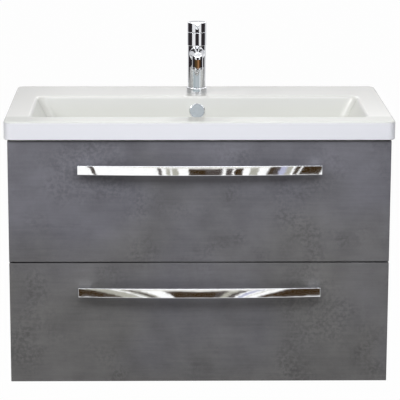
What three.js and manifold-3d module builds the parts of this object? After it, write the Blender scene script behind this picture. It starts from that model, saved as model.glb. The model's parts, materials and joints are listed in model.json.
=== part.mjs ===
// Wall-hung bathroom vanity: a two-drawer cabinet with a ceramic washbasin and a pillar mixer tap.
// Millimetres, +Z up, +X along the wall to the right, +Y into the wall.
// The origin is the middle of the hanging rail's back face, on the wall plane.

import * as THREE from 'three';
import { mergeVertices } from 'three/addons/utils/BufferGeometryUtils.js';
import Module from 'manifold-3d';

const wasm = await Module();
wasm.setup();

// ---------------------------------------------------------------- driving dimensions

const SEAT = 0.3; // gap between pieces that seat on each other
const RUNNING = 0.5; // gap between pieces that slide or turn
const CUT = 1; // how far a cutting shape passes the face that it opens

const CABINET_W = 800;
const CABINET_H = 524;
const CARCASS_D = 435;
const BOARD = 16;
const REVEAL = 3; // gap above each drawer front
const FRONT_T = 18;
const FRONT_BUFFER = 2; // air between carcass and closed front
const FRONT_EASE = 1; // eased edge of a front

const HANGING_RAIL_H = 100;
const LOWER_RAIL_H = 80;
const FRONT_RAIL_H = 45;
const HANGER_W = 18;
const HANGER_H = 62;
const HANGER_D = 46;
const HANGER_DROP = 10; // cabinet's top edge to the bracket
const HANGER_BACK = 14; // from the wall to the bracket's housing
const HANGER_ARM_T = 12;
const HANGER_HOOK_T = 3.5;
const HANGER_CHAMFER = 7;
const HANGER_SCREW_R = 4;

const BASIN_OVERHANG = 7.5; // basin past each side panel
const BASIN_NOSE = 10; // basin past the closed fronts
const BASIN_APRON_H = 39;
const BASIN_CORNER_R = 18;
const BASIN_EDGE_R = 4;
const BASIN_FOOT_R = 2; // rounding of the apron's lower edge
const CERAMIC_T = 12;
const SKIRT_T = 14;
const BOWL_SIDE_LEDGE = 52.5; // from the basin's side to the bowl
const BOWL_FRONT_LEDGE = 61;
const BOWL_DEPTH = 96;
const BOWL_CORNER_R = 20;
const BOWL_LEDGE = 142; // from the wall to the bowl's rear edge
const BOWL_RIM_R = 6;
const BOWL_FOOT_R = 26; // fillet between bowl wall and floor
const BOWL_SIDE_DRAFT = 0.17;
const BOWL_WALL_DRAFT = 0.07;
const BOWL_FALL = 9; // fall of the bowl floor to the drain
const DRAIN_CLEARANCE = 1.5; // between the waste's thread and the drain's bore
const BOWL_TO_DRAIN = 93; // bowl's rear edge to the drain's axis
const DRAIN_BOSS_WALL = 14;
const OVERFLOW_R = 12;
const OVERFLOW_DEPTH = 33; // below the rim
const OVERFLOW_CAP_R = 17.5;
const CHANNEL_W = 30;
const CHANNEL_T = 8;
const CHANNEL_WALL = 6;

const WASTE_TUBE_R = 21.5;
const WASTE_WALL = 3.5;
const WASTE_FLANGE_LAP = 10; // flange past the thread
const WASTE_LENGTH = 62; // thread below the ceramic boss
const WASTE_FLANGE_T = 3;
const WASTE_SHELF_T = 3; // the perforated shelf that guides the plug
const WASTE_PORT_R = 4.5;
const WASTE_NUT_H = 12;
const WASTE_NUT_WALL = 7;
const WASTE_SEAL_T = 3;
const PLUG_LAP = 6; // plug's rim past the waste's bore
const PLUG_STEM_R = 4;
const PLUG_T = 5.2;
const PLUG_CROWN_R = 10; // the nearly flat middle of the plug
const PLUG_STEM_BELOW = 14; // stem below the shelf's top

const TAP_TO_BOWL = 54; // tap's axis to the bowl's rear edge
const TAP_HOLE_R = 17.5;
const TAP_BASE_LAP = 3; // base ring past the column
const TAP_BASE_H = 13;
const TAP_BODY_R = 20;
const TAP_BODY_TOP = 106;
const TAP_COLLAR_LAP = 1; // collar and lever head past the column
const TAP_COLLAR_H = 30;
const TAP_HEAD_H = 22;
const TAP_DOME_WALL = 6.9; // the collar's wall round the cartridge dome
const TAP_LIFT_DEG = 20; // relief behind the lever head
const SPOUT_REACH = 110;
const SPOUT_TIP_R = 12;
const SPOUT_ROOT_W = 36;
const SPOUT_ROOT_H = 32;
const SPOUT_TOP = 105;
const NOZZLE_BOTTOM = 72;
const AERATOR_H = 5.5;
const PIN_R = 4;
const PIN_LENGTH = 62;
const PIN_RISE_DEG = 15;
const STUD_R = 5;
const STUD_LENGTH = 80;
const STUD_BITE = 10; // thread inside the column
const FIXING_PLATE_T = 3;
const FIXING_TO_DUCT = 3.5; // plate's edge to the overflow duct
const FIXING_NUT_H = 8;

const HANDLE_LENGTH = 508;
const HANDLE_H = 19;
const HANDLE_CROWN_H = 1.2; // extra height at mid length
const HANDLE_T = 8;
const HANDLE_STANDOFF = 27; // panel to the front of the bar's ends
const HANDLE_BOW = 8; // the arch at mid length
const HANDLE_FOOT_L = 28;
const HANDLE_FOOT_R = 9; // fillet between foot and bar
const HANDLE_END_EASE = 1.2; // rounding of the bar's front edges at its ends
const HANDLE_MID_EASE = 3.6; // what mid length adds to that
const HANDLE_BACK_EASE = 1;
const HANDLE_DROP = 57; // front's top edge to the handle's centre line
const SCREW_R = 2;
const SCREW_HEAD_R = 4.2;
const SCREW_HEAD_T = 2.6;
const SCREW_BITE = 10; // thread inside the handle's foot

const DRAWER_BOARD = 15;
const DRAWER_FLOOR_T = 8;
const GROOVE_DEPTH = 6;
const GROOVE_UP = 10; // side's lower edge to the groove
const DRAWER_BACK_GAP = 37; // wall to the drawers' backs
const DRAWER_LIFT = 24; // front's lower edge to the drawer side
const BOWL_CLEARANCE = 40; // upper drawer's sides to the bowl's underside
const LOWER_SIDE_DROP = 70; // lower front's top edge to the drawer's sides
const BRACKET_LEG = 32;
const BRACKET_H = 70;
const BRACKET_T = 2;
const SIPHON_W = 200; // clear width of the siphon recess
const SIPHON_PAST_DRAIN = 87; // from the drain's axis to the recess's front
const SIPHON_GUARD_T = 10;
const SIPHON_CORNER_R = 45;

const RUNNER_W = 12.7;
const RUNNER_H = 45;
const RUNNER_SHEET = 1.3;
const RUNNER_LIP = 3.4; // lip that holds the ball race, from the flange's outside
const RUNNER_BEND = 1.6;
const RUNNER_CABINET_D = 10; // depth of the cabinet member's flanges
const RUNNER_DRAWER_D = 6.5; // depth of the drawer member's flanges
const RUNNER_SETBACK = 8; // carcass front edge to the fixed member
const RUNNER_MIDDLE_SETBACK = 12;
const RUNNER_BACK_GAP = 27; // wall to the runners' ends
const RUNNER_MIDDLE_SHORT = 40; // what the middle member lacks in length
const RUNNER_UP = 62; // drawer side's lower edge to the runner's centre line

// ---------------------------------------------------------------- derived places

const halfW = CABINET_W / 2;
const innerX = halfW - BOARD;
const frontBackY = -(CARCASS_D + FRONT_BUFFER);
const frontFaceY = frontBackY - FRONT_T;
const frontH = (CABINET_H - 2 * REVEAL) / 2;
const rimZ = CABINET_H + BASIN_APRON_H;
const basinW = CABINET_W + 2 * BASIN_OVERHANG;
const basinD = BASIN_NOSE - frontFaceY;
const bowlW = basinW - 2 * BOWL_SIDE_LEDGE;
const bowlD = basinD - BOWL_LEDGE - BOWL_FRONT_LEDGE;
const drainR = WASTE_TUBE_R + DRAIN_CLEARANCE;
const drainBossR = drainR + DRAIN_BOSS_WALL;
const wasteBoreR = WASTE_TUBE_R - WASTE_WALL;
const wasteFlangeR = WASTE_TUBE_R + WASTE_FLANGE_LAP;
const plugRimR = wasteBoreR + PLUG_LAP;
const tapBaseR = TAP_BODY_R + TAP_BASE_LAP;
const tapCollarR = TAP_BODY_R + TAP_COLLAR_LAP;
const tapDomeR = tapCollarR - TAP_DOME_WALL - RUNNING;
const bowlY = -(BOWL_LEDGE + bowlD / 2);
const tapY = TAP_TO_BOWL - BOWL_LEDGE;
const drainY = -(BOWL_LEDGE + BOWL_TO_DRAIN);
const bowlFloorZ = rimZ - BOWL_DEPTH;
const drainSeatZ = bowlFloorZ - BOWL_FALL;
const bowlUnderZ = drainSeatZ - CERAMIC_T;
const bossBottomZ = bowlUnderZ - CHANNEL_T - CHANNEL_WALL;
const upperFrontZ = frontH + REVEAL;
const upperSideH = bowlUnderZ - BOWL_CLEARANCE - upperFrontZ - DRAWER_LIFT;
const lowerSideH = frontH - LOWER_SIDE_DROP - DRAWER_LIFT;
const drawerBackY = -DRAWER_BACK_GAP;
const drawerDepth = drawerBackY - frontBackY;
const runnerLength = CARCASS_D - RUNNER_SETBACK - RUNNER_BACK_GAP;
const handleHoles = HANDLE_LENGTH - HANDLE_FOOT_L;
const drawerOuterX = innerX - RUNNER_W - SEAT;
const drawerInnerX = drawerOuterX - DRAWER_BOARD;

// ---------------------------------------------------------------- materials

const finish = (color, roughness, metalness = 0) => (
  new THREE.MeshStandardMaterial({ color, roughness, metalness })
);

const materials = {
  concreteDecor: finish('#68676a', 0.6),
  edgeBoard: finish('#6b6a6d', 0.65),
  drawerBoard: finish('#a9a8a5', 0.6),
  ceramic: finish('#e6e6e4', 0.12),
  chrome: finish('#d5d6d8', 0.06, 1),
  zinc: finish('#b4b6b8', 0.35, 1),
  brass: finish('#b49a5e', 0.35, 1),
  nylon: finish('#d8d8d4', 0.5),
  rubber: finish('#2b2b2c', 0.8),
  guard: finish('#8f8f8e', 0.5),
};

// ---------------------------------------------------------------- geometry helpers

/** Keeps only positions and merges equal vertices, as a boolean needs. */
function welded(geometry) {
  const bare = geometry.clone();
  bare.deleteAttribute('normal');
  bare.deleteAttribute('uv');
  return mergeVertices(bare, 1e-4);
}

function solid(geometry) {
  const merged = welded(geometry);
  return new wasm.Manifold(new wasm.Mesh({
    numProp: 3,
    vertProperties: new Float32Array(merged.attributes.position.array),
    triVerts: new Uint32Array(merged.index.array),
  }));
}

function fromSolid(body) {
  const mesh = body.getMesh();
  const geometry = new THREE.BufferGeometry();
  geometry.setAttribute('position', new THREE.BufferAttribute(mesh.vertProperties, 3));
  geometry.setIndex(new THREE.BufferAttribute(mesh.triVerts, 1));
  geometry.computeVertexNormals();
  return geometry;
}

/** Joins the first geometry with `added` ones, then cuts the `removed` ones out of it. */
function carve(base, { added = [], removed = [] }) {
  let body = solid(base);
  for (const extra of added) body = body.add(solid(extra));
  for (const tool of removed) body = body.subtract(solid(tool));
  return fromSolid(body);
}

function box(w, d, h, x, y, z) {
  return new THREE.BoxGeometry(w, d, h).translate(x, y, z);
}

/** A revolved piece about +Z. The profile is [radius, height] pairs, from the lower axis point up. */
function turned(profile, segments = 36) {
  const points = profile.map(([r, z]) => new THREE.Vector2(r, z));
  return new THREE.LatheGeometry(points, segments).rotateX(Math.PI / 2);
}

function rod(r, z0, z1, x = 0, y = 0, segments = 32) {
  return turned([[0, z0], [r, z0], [r, z1], [0, z1]], segments).translate(x, y, 0);
}

/** Extrudes an outline of [x, y] pairs or a Shape from z0 to z1. */
function prism(outline, z0, z1, curveSegments = 8) {
  const shape = Array.isArray(outline)
    ? new THREE.Shape(outline.map(([x, y]) => new THREE.Vector2(x, y)))
    : outline;
  const geometry = new THREE.ExtrudeGeometry(shape, {
    depth: z1 - z0,
    bevelEnabled: false,
    curveSegments,
  });
  return geometry.translate(0, 0, z0);
}

/** Extrudes a section drawn in X and Z along Y, from y0 back to y1. */
function channel(section, y0, y1) {
  return prism(section, -y1, -y0).rotateX(Math.PI / 2);
}

/** One level ring of a rounded rectangle, anticlockwise from above. */
function roundedRing({ w, d, r, x = 0, y = 0, z }, arcSteps = 6) {
  const ring = [];
  const corners = [[1, 1, 0], [-1, 1, 1], [-1, -1, 2], [1, -1, 3]];
  for (const [sx, sy, quarter] of corners) {
    const cx = x + sx * (w / 2 - r);
    const cy = y + sy * (d / 2 - r);
    for (let i = 0; i <= arcSteps; i += 1) {
      const angle = (quarter + i / arcSteps) * Math.PI / 2;
      ring.push(new THREE.Vector3(cx + r * Math.cos(angle), cy + r * Math.sin(angle), z));
    }
  }
  return ring;
}

/** Skins rings with equal point counts, first to last, and closes both ends with flat fans. */
function loft(rings) {
  const count = rings[0].length;
  const positions = rings.flat().flatMap((p) => [p.x, p.y, p.z]);
  const index = [];
  for (let k = 0; k + 1 < rings.length; k += 1) {
    for (let i = 0; i < count; i += 1) {
      const a = k * count + i;
      const b = k * count + (i + 1) % count;
      index.push(a, b, b + count, a, b + count, a + count);
    }
  }
  const last = (rings.length - 1) * count;
  for (let i = 1; i + 1 < count; i += 1) {
    index.push(0, i + 1, i);
    index.push(last, last + i, last + i + 1);
  }
  const geometry = new THREE.BufferGeometry();
  geometry.setAttribute('position', new THREE.Float32BufferAttribute(positions, 3));
  geometry.setIndex(index);
  return geometry;
}

const vanity = new THREE.Group();
vanity.position.z = -(CABINET_H - HANGING_RAIL_H / 2);

function place(name, geometry, material, parent = vanity) {
  const mesh = new THREE.Mesh(geometry, material);
  mesh.name = name;
  parent.add(mesh);
  return mesh;
}

const sides = [['left', -1], ['right', 1]];

/** Turns a right-hand geometry into its left-hand twin across X = 0. */
function handed(geometry, side) {
  if (side > 0) return geometry;
  return fromSolid(solid(geometry).mirror([1, 0, 0]));
}

// ---------------------------------------------------------------- carcass

function buildCarcass() {
  for (const [word, side] of sides) {
    const x = side * (halfW - BOARD / 2);
    const panel = box(BOARD, CARCASS_D, CABINET_H, x, -CARCASS_D / 2, CABINET_H / 2);
    place(`side_panel_${word}`, panel, materials.concreteDecor);
    place(`hanger_${word}`, handed(hangerGeometry(), side), materials.zinc);
  }
  const bottom = box(2 * innerX, CARCASS_D, BOARD, 0, -CARCASS_D / 2, BOARD / 2);
  place('bottom_panel', bottom, materials.edgeBoard);
  place('hanging_rail', hangingRailGeometry(), materials.drawerBoard);
  const lowerRailZ = BOARD + LOWER_RAIL_H / 2;
  const lowerRail = box(2 * innerX, BOARD, LOWER_RAIL_H, 0, -BOARD / 2, lowerRailZ);
  place('lower_back_rail', lowerRail, materials.drawerBoard);
  const frontRailZ = CABINET_H - FRONT_RAIL_H / 2;
  const frontRailY = -(CARCASS_D - BOARD / 2);
  const frontRail = box(2 * innerX, BOARD, FRONT_RAIL_H, 0, frontRailY, frontRailZ);
  place('front_rail', frontRail, materials.edgeBoard);
}

const hangerTopZ = CABINET_H - HANGER_DROP;

/** The rail behind the basin, notched at both ends where the hanging brackets reach the wall. */
function hangingRailGeometry() {
  const notchW = HANGER_W + 2 * CUT;
  const railZ = CABINET_H - HANGING_RAIL_H / 2;
  const rail = box(2 * innerX, BOARD, HANGING_RAIL_H, 0, -BOARD / 2, railZ);
  const notches = sides.map(([, side]) => {
    const notchX = side * (innerX + CUT - notchW / 2);
    const notchZ = hangerTopZ - HANGER_H / 2;
    return box(notchW, BOARD + 2 * CUT, HANGER_H + 2 * CUT, notchX, -BOARD / 2, notchZ);
  });
  return carve(rail, { removed: notches });
}

/** A hanging bracket on the right side panel: a housing with an upturned hook at the wall. */
function hangerGeometry() {
  const low = hangerTopZ - HANGER_H;
  const armLow = low + HANGER_H / 4;
  const armTop = armLow + HANGER_ARM_T;
  const hookFront = SEAT + HANGER_HOOK_T;
  const hookTop = hangerTopZ - HANGER_CHAMFER;
  const outline = [
    [HANGER_D, low + HANGER_CHAMFER], [HANGER_D - HANGER_CHAMFER, low],
    [HANGER_BACK, low], [HANGER_BACK, armLow], [SEAT, armLow],
    [SEAT, hookTop - HANGER_HOOK_T], [hookFront, hookTop], [hookFront, armTop],
    [HANGER_BACK, armTop], [HANGER_BACK, hangerTopZ],
    [HANGER_D - HANGER_CHAMFER, hangerTopZ], [HANGER_D, hangerTopZ - HANGER_CHAMFER],
  ];
  const profile = outline.map(([depth, z]) => [-depth, z]);
  const plate = prism(profile, 0, HANGER_W).rotateX(Math.PI / 2).rotateZ(Math.PI / 2);
  const body = plate.translate(innerX - HANGER_W, 0, 0);
  const wellInset = HANGER_CHAMFER + 2 * HANGER_SCREW_R;
  const wellY = -(HANGER_BACK + HANGER_D) / 2;
  const wells = [low + wellInset, hangerTopZ - wellInset].map((z) => (
    rod(HANGER_SCREW_R, -CUT, HANGER_W / 2, 0, 0, 20)
      .rotateY(Math.PI / 2)
      .translate(innerX - HANGER_W, wellY, z)
  ));
  return carve(body, { removed: wells });
}

// ---------------------------------------------------------------- washbasin

/** Rings of the bowl from the rim down, as an opening that flares at the rim and fills at the foot. */
function bowlRings(offset) {
  const rings = [];
  const ringAt = (depth, grow) => ({
    w: bowlW + 2 * (grow + offset - BOWL_SIDE_DRAFT * depth),
    d: bowlD + 2 * (grow + offset - BOWL_WALL_DRAFT * depth),
    r: BOWL_CORNER_R + Math.max(grow, -12) + offset + 0.12 * depth,
    y: bowlY,
    z: rimZ - depth,
  });
  const rimSteps = 4;
  for (let i = 0; i <= rimSteps && offset === 0; i += 1) {
    const angle = (i / rimSteps) * Math.PI / 2;
    rings.push(ringAt(BOWL_RIM_R * (1 - Math.cos(angle)), BOWL_RIM_R * (1 - Math.sin(angle))));
  }
  const footTop = BOWL_DEPTH - BOWL_FOOT_R;
  rings.push(ringAt(footTop * 0.5, 0));
  const footSteps = 5;
  for (let i = 0; i <= footSteps; i += 1) {
    const angle = (i / footSteps) * Math.PI / 2;
    const depth = footTop + BOWL_FOOT_R * Math.sin(angle);
    rings.push(ringAt(depth, -BOWL_FOOT_R * (1 - Math.cos(angle))));
  }
  return rings;
}

/** The drain end of a bowl: one small round ring under the drain. */
function drainRing(r, z) {
  return roundedRing({ w: 2 * r, d: 2 * r, r: r - 0.01, y: drainY, z });
}

function bowlCavity() {
  const rings = bowlRings(0).map((ring) => roundedRing(ring));
  const lid = roundedRing({ ...bowlRings(0)[0], z: rimZ + CUT });
  const floor = drainRing(wasteFlangeR + CUT, drainSeatZ);
  return loft([lid, ...rings, floor].reverse());
}

function bowlOutside() {
  const shell = bowlRings(CERAMIC_T);
  const neck = { ...shell[0], z: rimZ - CERAMIC_T / 2 };
  const rings = [neck, ...shell].map((ring) => roundedRing({ ...ring, z: Math.min(neck.z, ring.z) }));
  const dropped = rings.map((ring, i) => {
    const share = i / (rings.length - 1);
    return ring.map((p) => new THREE.Vector3(p.x, p.y, p.z - share * CERAMIC_T));
  });
  return loft([...dropped, drainRing(drainBossR, drainSeatZ - CERAMIC_T)].reverse());
}

/** The overflow duct: down behind the bowl's rear wall, then forward under its floor to the drain. */
function overflowDuct(width, thickness, top, inset) {
  const rearY = -BOWL_LEDGE;
  const wallDrop = BOWL_WALL_DRAFT * BOWL_DEPTH;
  const outerRearY = rearY + CERAMIC_T + thickness;
  const floorZ = bowlFloorZ - BOWL_FALL - CERAMIC_T - thickness;
  const outline = [
    [rearY - inset, top],
    [outerRearY, top],
    [outerRearY - wallDrop, floorZ + BOWL_FOOT_R],
    [outerRearY - wallDrop - BOWL_FOOT_R, floorZ],
    [drainY, floorZ],
    [drainY, floorZ + thickness + inset],
    [rearY - wallDrop - BOWL_FOOT_R, floorZ + thickness + inset],
    [rearY - wallDrop - inset, floorZ + BOWL_FOOT_R + thickness],
  ];
  return prism(outline, -width / 2, width / 2).rotateX(Math.PI / 2).rotateZ(Math.PI / 2);
}

function basinSlab() {
  const rounding = (r, steps) => Array.from({ length: steps + 1 }, (_, i) => {
    const angle = (i / steps) * Math.PI / 2;
    return [r * (1 - Math.sin(angle)), r * (1 - Math.cos(angle))];
  });
  const foot = rounding(BASIN_FOOT_R, 2).reverse();
  const top = rounding(BASIN_EDGE_R, 3).map(([down, inset]) => [BASIN_APRON_H - down, inset]);
  const rings = [...foot, ...top].map(([up, inset]) => roundedRing({
    w: basinW - 2 * inset,
    d: basinD - 2 * inset,
    r: BASIN_CORNER_R - inset,
    y: -basinD / 2,
    z: CABINET_H + up,
  }, 8));
  return loft(rings);
}

function basinHollow() {
  const plan = {
    w: basinW - 2 * SKIRT_T,
    d: basinD - 2 * SKIRT_T,
    r: BASIN_CORNER_R - SKIRT_T / 2,
    y: -basinD / 2,
  };
  const top = rimZ - CERAMIC_T;
  return loft([
    roundedRing({ ...plan, z: CABINET_H - CUT }),
    roundedRing({ ...plan, z: top - CERAMIC_T / 2 }),
    roundedRing({ ...plan, w: plan.w - CERAMIC_T / 2, d: plan.d - CERAMIC_T / 2, z: top }),
  ]);
}

const overflowZ = rimZ - OVERFLOW_DEPTH;

/** How far behind the vertical the bowl's rear wall lies at a depth below the rim. */
const rearWallY = (depth) => -BOWL_LEDGE - BOWL_WALL_DRAFT * depth;

function buildBasin() {
  const ductTop = overflowZ + OVERFLOW_R + CHANNEL_WALL;
  const ductOuter = overflowDuct(
    CHANNEL_W + 2 * CHANNEL_WALL, CHANNEL_T + CHANNEL_WALL, ductTop, CERAMIC_T / 2,
  );
  const ductInner = overflowDuct(CHANNEL_W, CHANNEL_T, ductTop - CHANNEL_WALL, 0);
  const ductCut = solid(ductInner).subtract(solid(bowlOutside()));
  const shell = carve(basinSlab(), { removed: [basinHollow()] });
  const drainBoss = rod(drainBossR, bossBottomZ, drainSeatZ - CUT, 0, drainY, 40);
  const body = carve(shell, {
    added: [bowlOutside(), ductOuter, drainBoss],
    removed: [
      fromSolid(ductCut),
      bowlCavity(),
      rod(drainR, bossBottomZ - CUT, rimZ, 0, drainY, 40),
      rod(TAP_HOLE_R, rimZ - CERAMIC_T - CUT, rimZ + CUT, 0, tapY, 32),
      overflowBore(),
    ],
  });
  place('washbasin', body, materials.ceramic);
  place('overflow_cap', overflowCapGeometry(), materials.chrome);
}

function overflowBore() {
  const reach = CERAMIC_T + CHANNEL_T / 2;
  const bore = rod(OVERFLOW_R, -reach, OVERFLOW_R, 0, 0, 28).rotateX(Math.PI / 2);
  return bore.translate(0, rearWallY(OVERFLOW_DEPTH), overflowZ);
}

/** A domed cap on a short spigot, leaning with the bowl's rear wall. */
function overflowCapGeometry() {
  const spigotR = OVERFLOW_R - 1;
  const cap = turned([
    [0, -8], [spigotR, -8], [spigotR, SEAT], [OVERFLOW_CAP_R, SEAT],
    [OVERFLOW_CAP_R, 2.4], [OVERFLOW_CAP_R - 1.2, 3.4],
    [OVERFLOW_CAP_R - 3, 3.6], [OVERFLOW_CAP_R - 4, 2.8], [7, 4.2], [0, 4.8],
  ], 28);
  const lean = Math.atan(BOWL_WALL_DRAFT);
  return cap.rotateX(Math.PI / 2 - lean).translate(0, rearWallY(OVERFLOW_DEPTH), overflowZ);
}

// ---------------------------------------------------------------- waste

const wasteFlangeTop = drainSeatZ + SEAT + WASTE_FLANGE_T;
const wasteShelfTop = bossBottomZ - WASTE_SHELF_T;

/** The waste: a flanged, threaded tube with a perforated shelf that guides the plug's stem. */
function wasteBodyGeometry() {
  const tubeBottom = bossBottomZ - WASTE_LENGTH;
  const shelfLow = wasteShelfTop - WASTE_SHELF_T;
  const guideR = PLUG_STEM_R + RUNNING;
  const mouth = WASTE_FLANGE_T;
  const body = turned([
    [guideR, shelfLow], [wasteBoreR, shelfLow], [wasteBoreR, tubeBottom],
    [WASTE_TUBE_R, tubeBottom], [WASTE_TUBE_R, drainSeatZ + SEAT],
    [wasteFlangeR, drainSeatZ + SEAT], [wasteFlangeR, wasteFlangeTop - mouth / 3],
    [wasteFlangeR - mouth / 2, wasteFlangeTop], [wasteBoreR + mouth, wasteFlangeTop],
    [wasteBoreR, wasteFlangeTop - mouth], [wasteBoreR, wasteShelfTop],
    [guideR, wasteShelfTop], [guideR, shelfLow],
  ], 28);
  const portFromAxis = (guideR + wasteBoreR) / 2;
  const portCount = 4;
  const ports = Array.from({ length: portCount }, (_, i) => {
    const angle = ((i + 0.5) / portCount) * 2 * Math.PI;
    const x = portFromAxis * Math.cos(angle);
    const y = portFromAxis * Math.sin(angle);
    return rod(WASTE_PORT_R, shelfLow - CUT, wasteShelfTop + CUT, x, y, 10);
  });
  return carve(body, { removed: ports });
}

/** The push plug: a domed cap on a spigot, with a stem down to the shelf. */
function plugGeometry() {
  const seat = wasteFlangeTop + SEAT;
  const spigotR = wasteBoreR - 2 * RUNNING;
  const spigotH = 2;
  return turned([
    [0, wasteShelfTop - PLUG_STEM_BELOW], [PLUG_STEM_R, wasteShelfTop - PLUG_STEM_BELOW],
    [PLUG_STEM_R, seat - 3 * spigotH], [2 * PLUG_STEM_R, seat - spigotH],
    [spigotR, seat - spigotH], [spigotR, seat], [plugRimR - 1, seat], [plugRimR, seat + 1],
    [plugRimR - 1, seat + PLUG_T / 2], [PLUG_CROWN_R, seat + 0.9 * PLUG_T], [0, seat + PLUG_T],
  ], 28);
}

function buildWaste() {
  place('waste_body', wasteBodyGeometry().translate(0, drainY, 0), materials.chrome);
  place('waste_plug', plugGeometry().translate(0, drainY, 0), materials.chrome);

  const bore = WASTE_TUBE_R + SEAT;
  const clampR = drainBossR - 1;
  const sealTop = bossBottomZ - SEAT;
  const sealLow = sealTop - WASTE_SEAL_T;
  const seal = turned([
    [bore, sealLow], [clampR, sealLow], [clampR, sealTop], [bore, sealTop], [bore, sealLow],
  ], 24);
  place('waste_seal', seal.translate(0, drainY, 0), materials.rubber);

  const nutTop = sealLow - SEAT;
  const nutLow = nutTop - WASTE_NUT_H;
  const flangeLow = nutTop - WASTE_NUT_H / 3;
  const nut = turned([
    [bore, nutLow], [bore + WASTE_NUT_WALL, nutLow], [bore + WASTE_NUT_WALL, flangeLow],
    [clampR, flangeLow], [clampR, nutTop], [bore, nutTop], [bore, nutLow],
  ], 24);
  place('waste_nut', nut.translate(0, drainY, 0), materials.nylon);
}

// ---------------------------------------------------------------- mixer tap

/** Elliptical stations from the column's axis to the spout's rounded nose. */
function spoutGeometry() {
  const noseR = SPOUT_TIP_R;
  const straight = SPOUT_REACH - noseR;
  const rings = [];
  const station = (reach, halfWidth, halfHeight, centreZ) => {
    const ring = [];
    const points = 28;
    for (let i = 0; i < points; i += 1) {
      const angle = (i / points) * 2 * Math.PI;
      const x = halfWidth * Math.cos(angle);
      ring.push(new THREE.Vector3(x, -reach, centreZ + halfHeight * Math.sin(angle)));
    }
    return ring;
  };
  const taper = [0, 0.18, 0.36, 0.55, 0.78, 1];
  for (const t of taper) {
    const ease = 1 - (1 - t) * (1 - t);
    const halfWidth = THREE.MathUtils.lerp(SPOUT_ROOT_W / 2, noseR, ease);
    const halfHeight = THREE.MathUtils.lerp(SPOUT_ROOT_H / 2, noseR, ease);
    rings.push(station(t * straight, halfWidth, halfHeight, SPOUT_TOP - halfHeight));
  }
  for (const degrees of [25, 50, 72, 86]) {
    const angle = THREE.MathUtils.degToRad(degrees);
    const r = noseR * Math.cos(angle);
    rings.push(station(straight + noseR * Math.sin(angle), r, r, SPOUT_TOP - noseR));
  }
  return loft(rings);
}

function buildTap() {
  const tap = new THREE.Group();
  tap.position.set(0, tapY, rimZ);
  vanity.add(tap);

  const spigotR = TAP_HOLE_R - 1;
  const base = turned([
    [STUD_R + SEAT, -CERAMIC_T + 2], [spigotR, -CERAMIC_T + 2], [spigotR, SEAT],
    [tapBaseR, SEAT], [tapBaseR, TAP_BASE_H - 2.5], [tapBaseR - 0.8, TAP_BASE_H - 0.8],
    [tapBaseR - 2.5, TAP_BASE_H], [STUD_R + SEAT, TAP_BASE_H],
    [STUD_R + SEAT, -CERAMIC_T + 2],
  ]);
  place('tap_base', base, materials.chrome, tap);

  const nozzleY = -(SPOUT_REACH - SPOUT_TIP_R);
  const aeratorR = SPOUT_TIP_R - 2.4;
  const column = turned([
    [0, TAP_BASE_H + SEAT], [TAP_BODY_R - 1, TAP_BASE_H + SEAT], [TAP_BODY_R, TAP_BASE_H + 1.2],
    [TAP_BODY_R, TAP_BODY_TOP - 1], [TAP_BODY_R - 1, TAP_BODY_TOP], [0, TAP_BODY_TOP],
  ]);
  const nozzle = rod(SPOUT_TIP_R, NOZZLE_BOTTOM, SPOUT_TOP - SPOUT_TIP_R, 0, nozzleY, 28);
  const body = carve(column, {
    added: [spoutGeometry(), nozzle],
    removed: [
      rod(aeratorR + SEAT, NOZZLE_BOTTOM - CUT, NOZZLE_BOTTOM + AERATOR_H + SEAT, 0, nozzleY, 24),
      rod(STUD_R + SEAT, 0, TAP_BASE_H + STUD_BITE + SEAT, 0, 0, 20),
    ],
  });
  place('tap_body', body, materials.chrome, tap);

  const aeratorTop = NOZZLE_BOTTOM - SEAT;
  const aeratorLow = aeratorTop - AERATOR_H;
  const edge = 0.8;
  const aerator = turned([
    [0, aeratorLow + edge], [aeratorR - 2 * edge, aeratorLow + edge],
    [aeratorR - edge, aeratorLow], [SPOUT_TIP_R - edge, aeratorLow],
    [SPOUT_TIP_R, aeratorLow + edge], [SPOUT_TIP_R, aeratorTop - edge],
    [SPOUT_TIP_R - edge, aeratorTop], [aeratorR, aeratorTop],
    [aeratorR, aeratorTop + AERATOR_H], [0, aeratorTop + AERATOR_H],
  ], 24).translate(0, nozzleY, 0);
  place('tap_aerator', aerator, materials.chrome, tap);

  buildTapLever(tap);
  buildTapFixings(tap);
}

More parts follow.
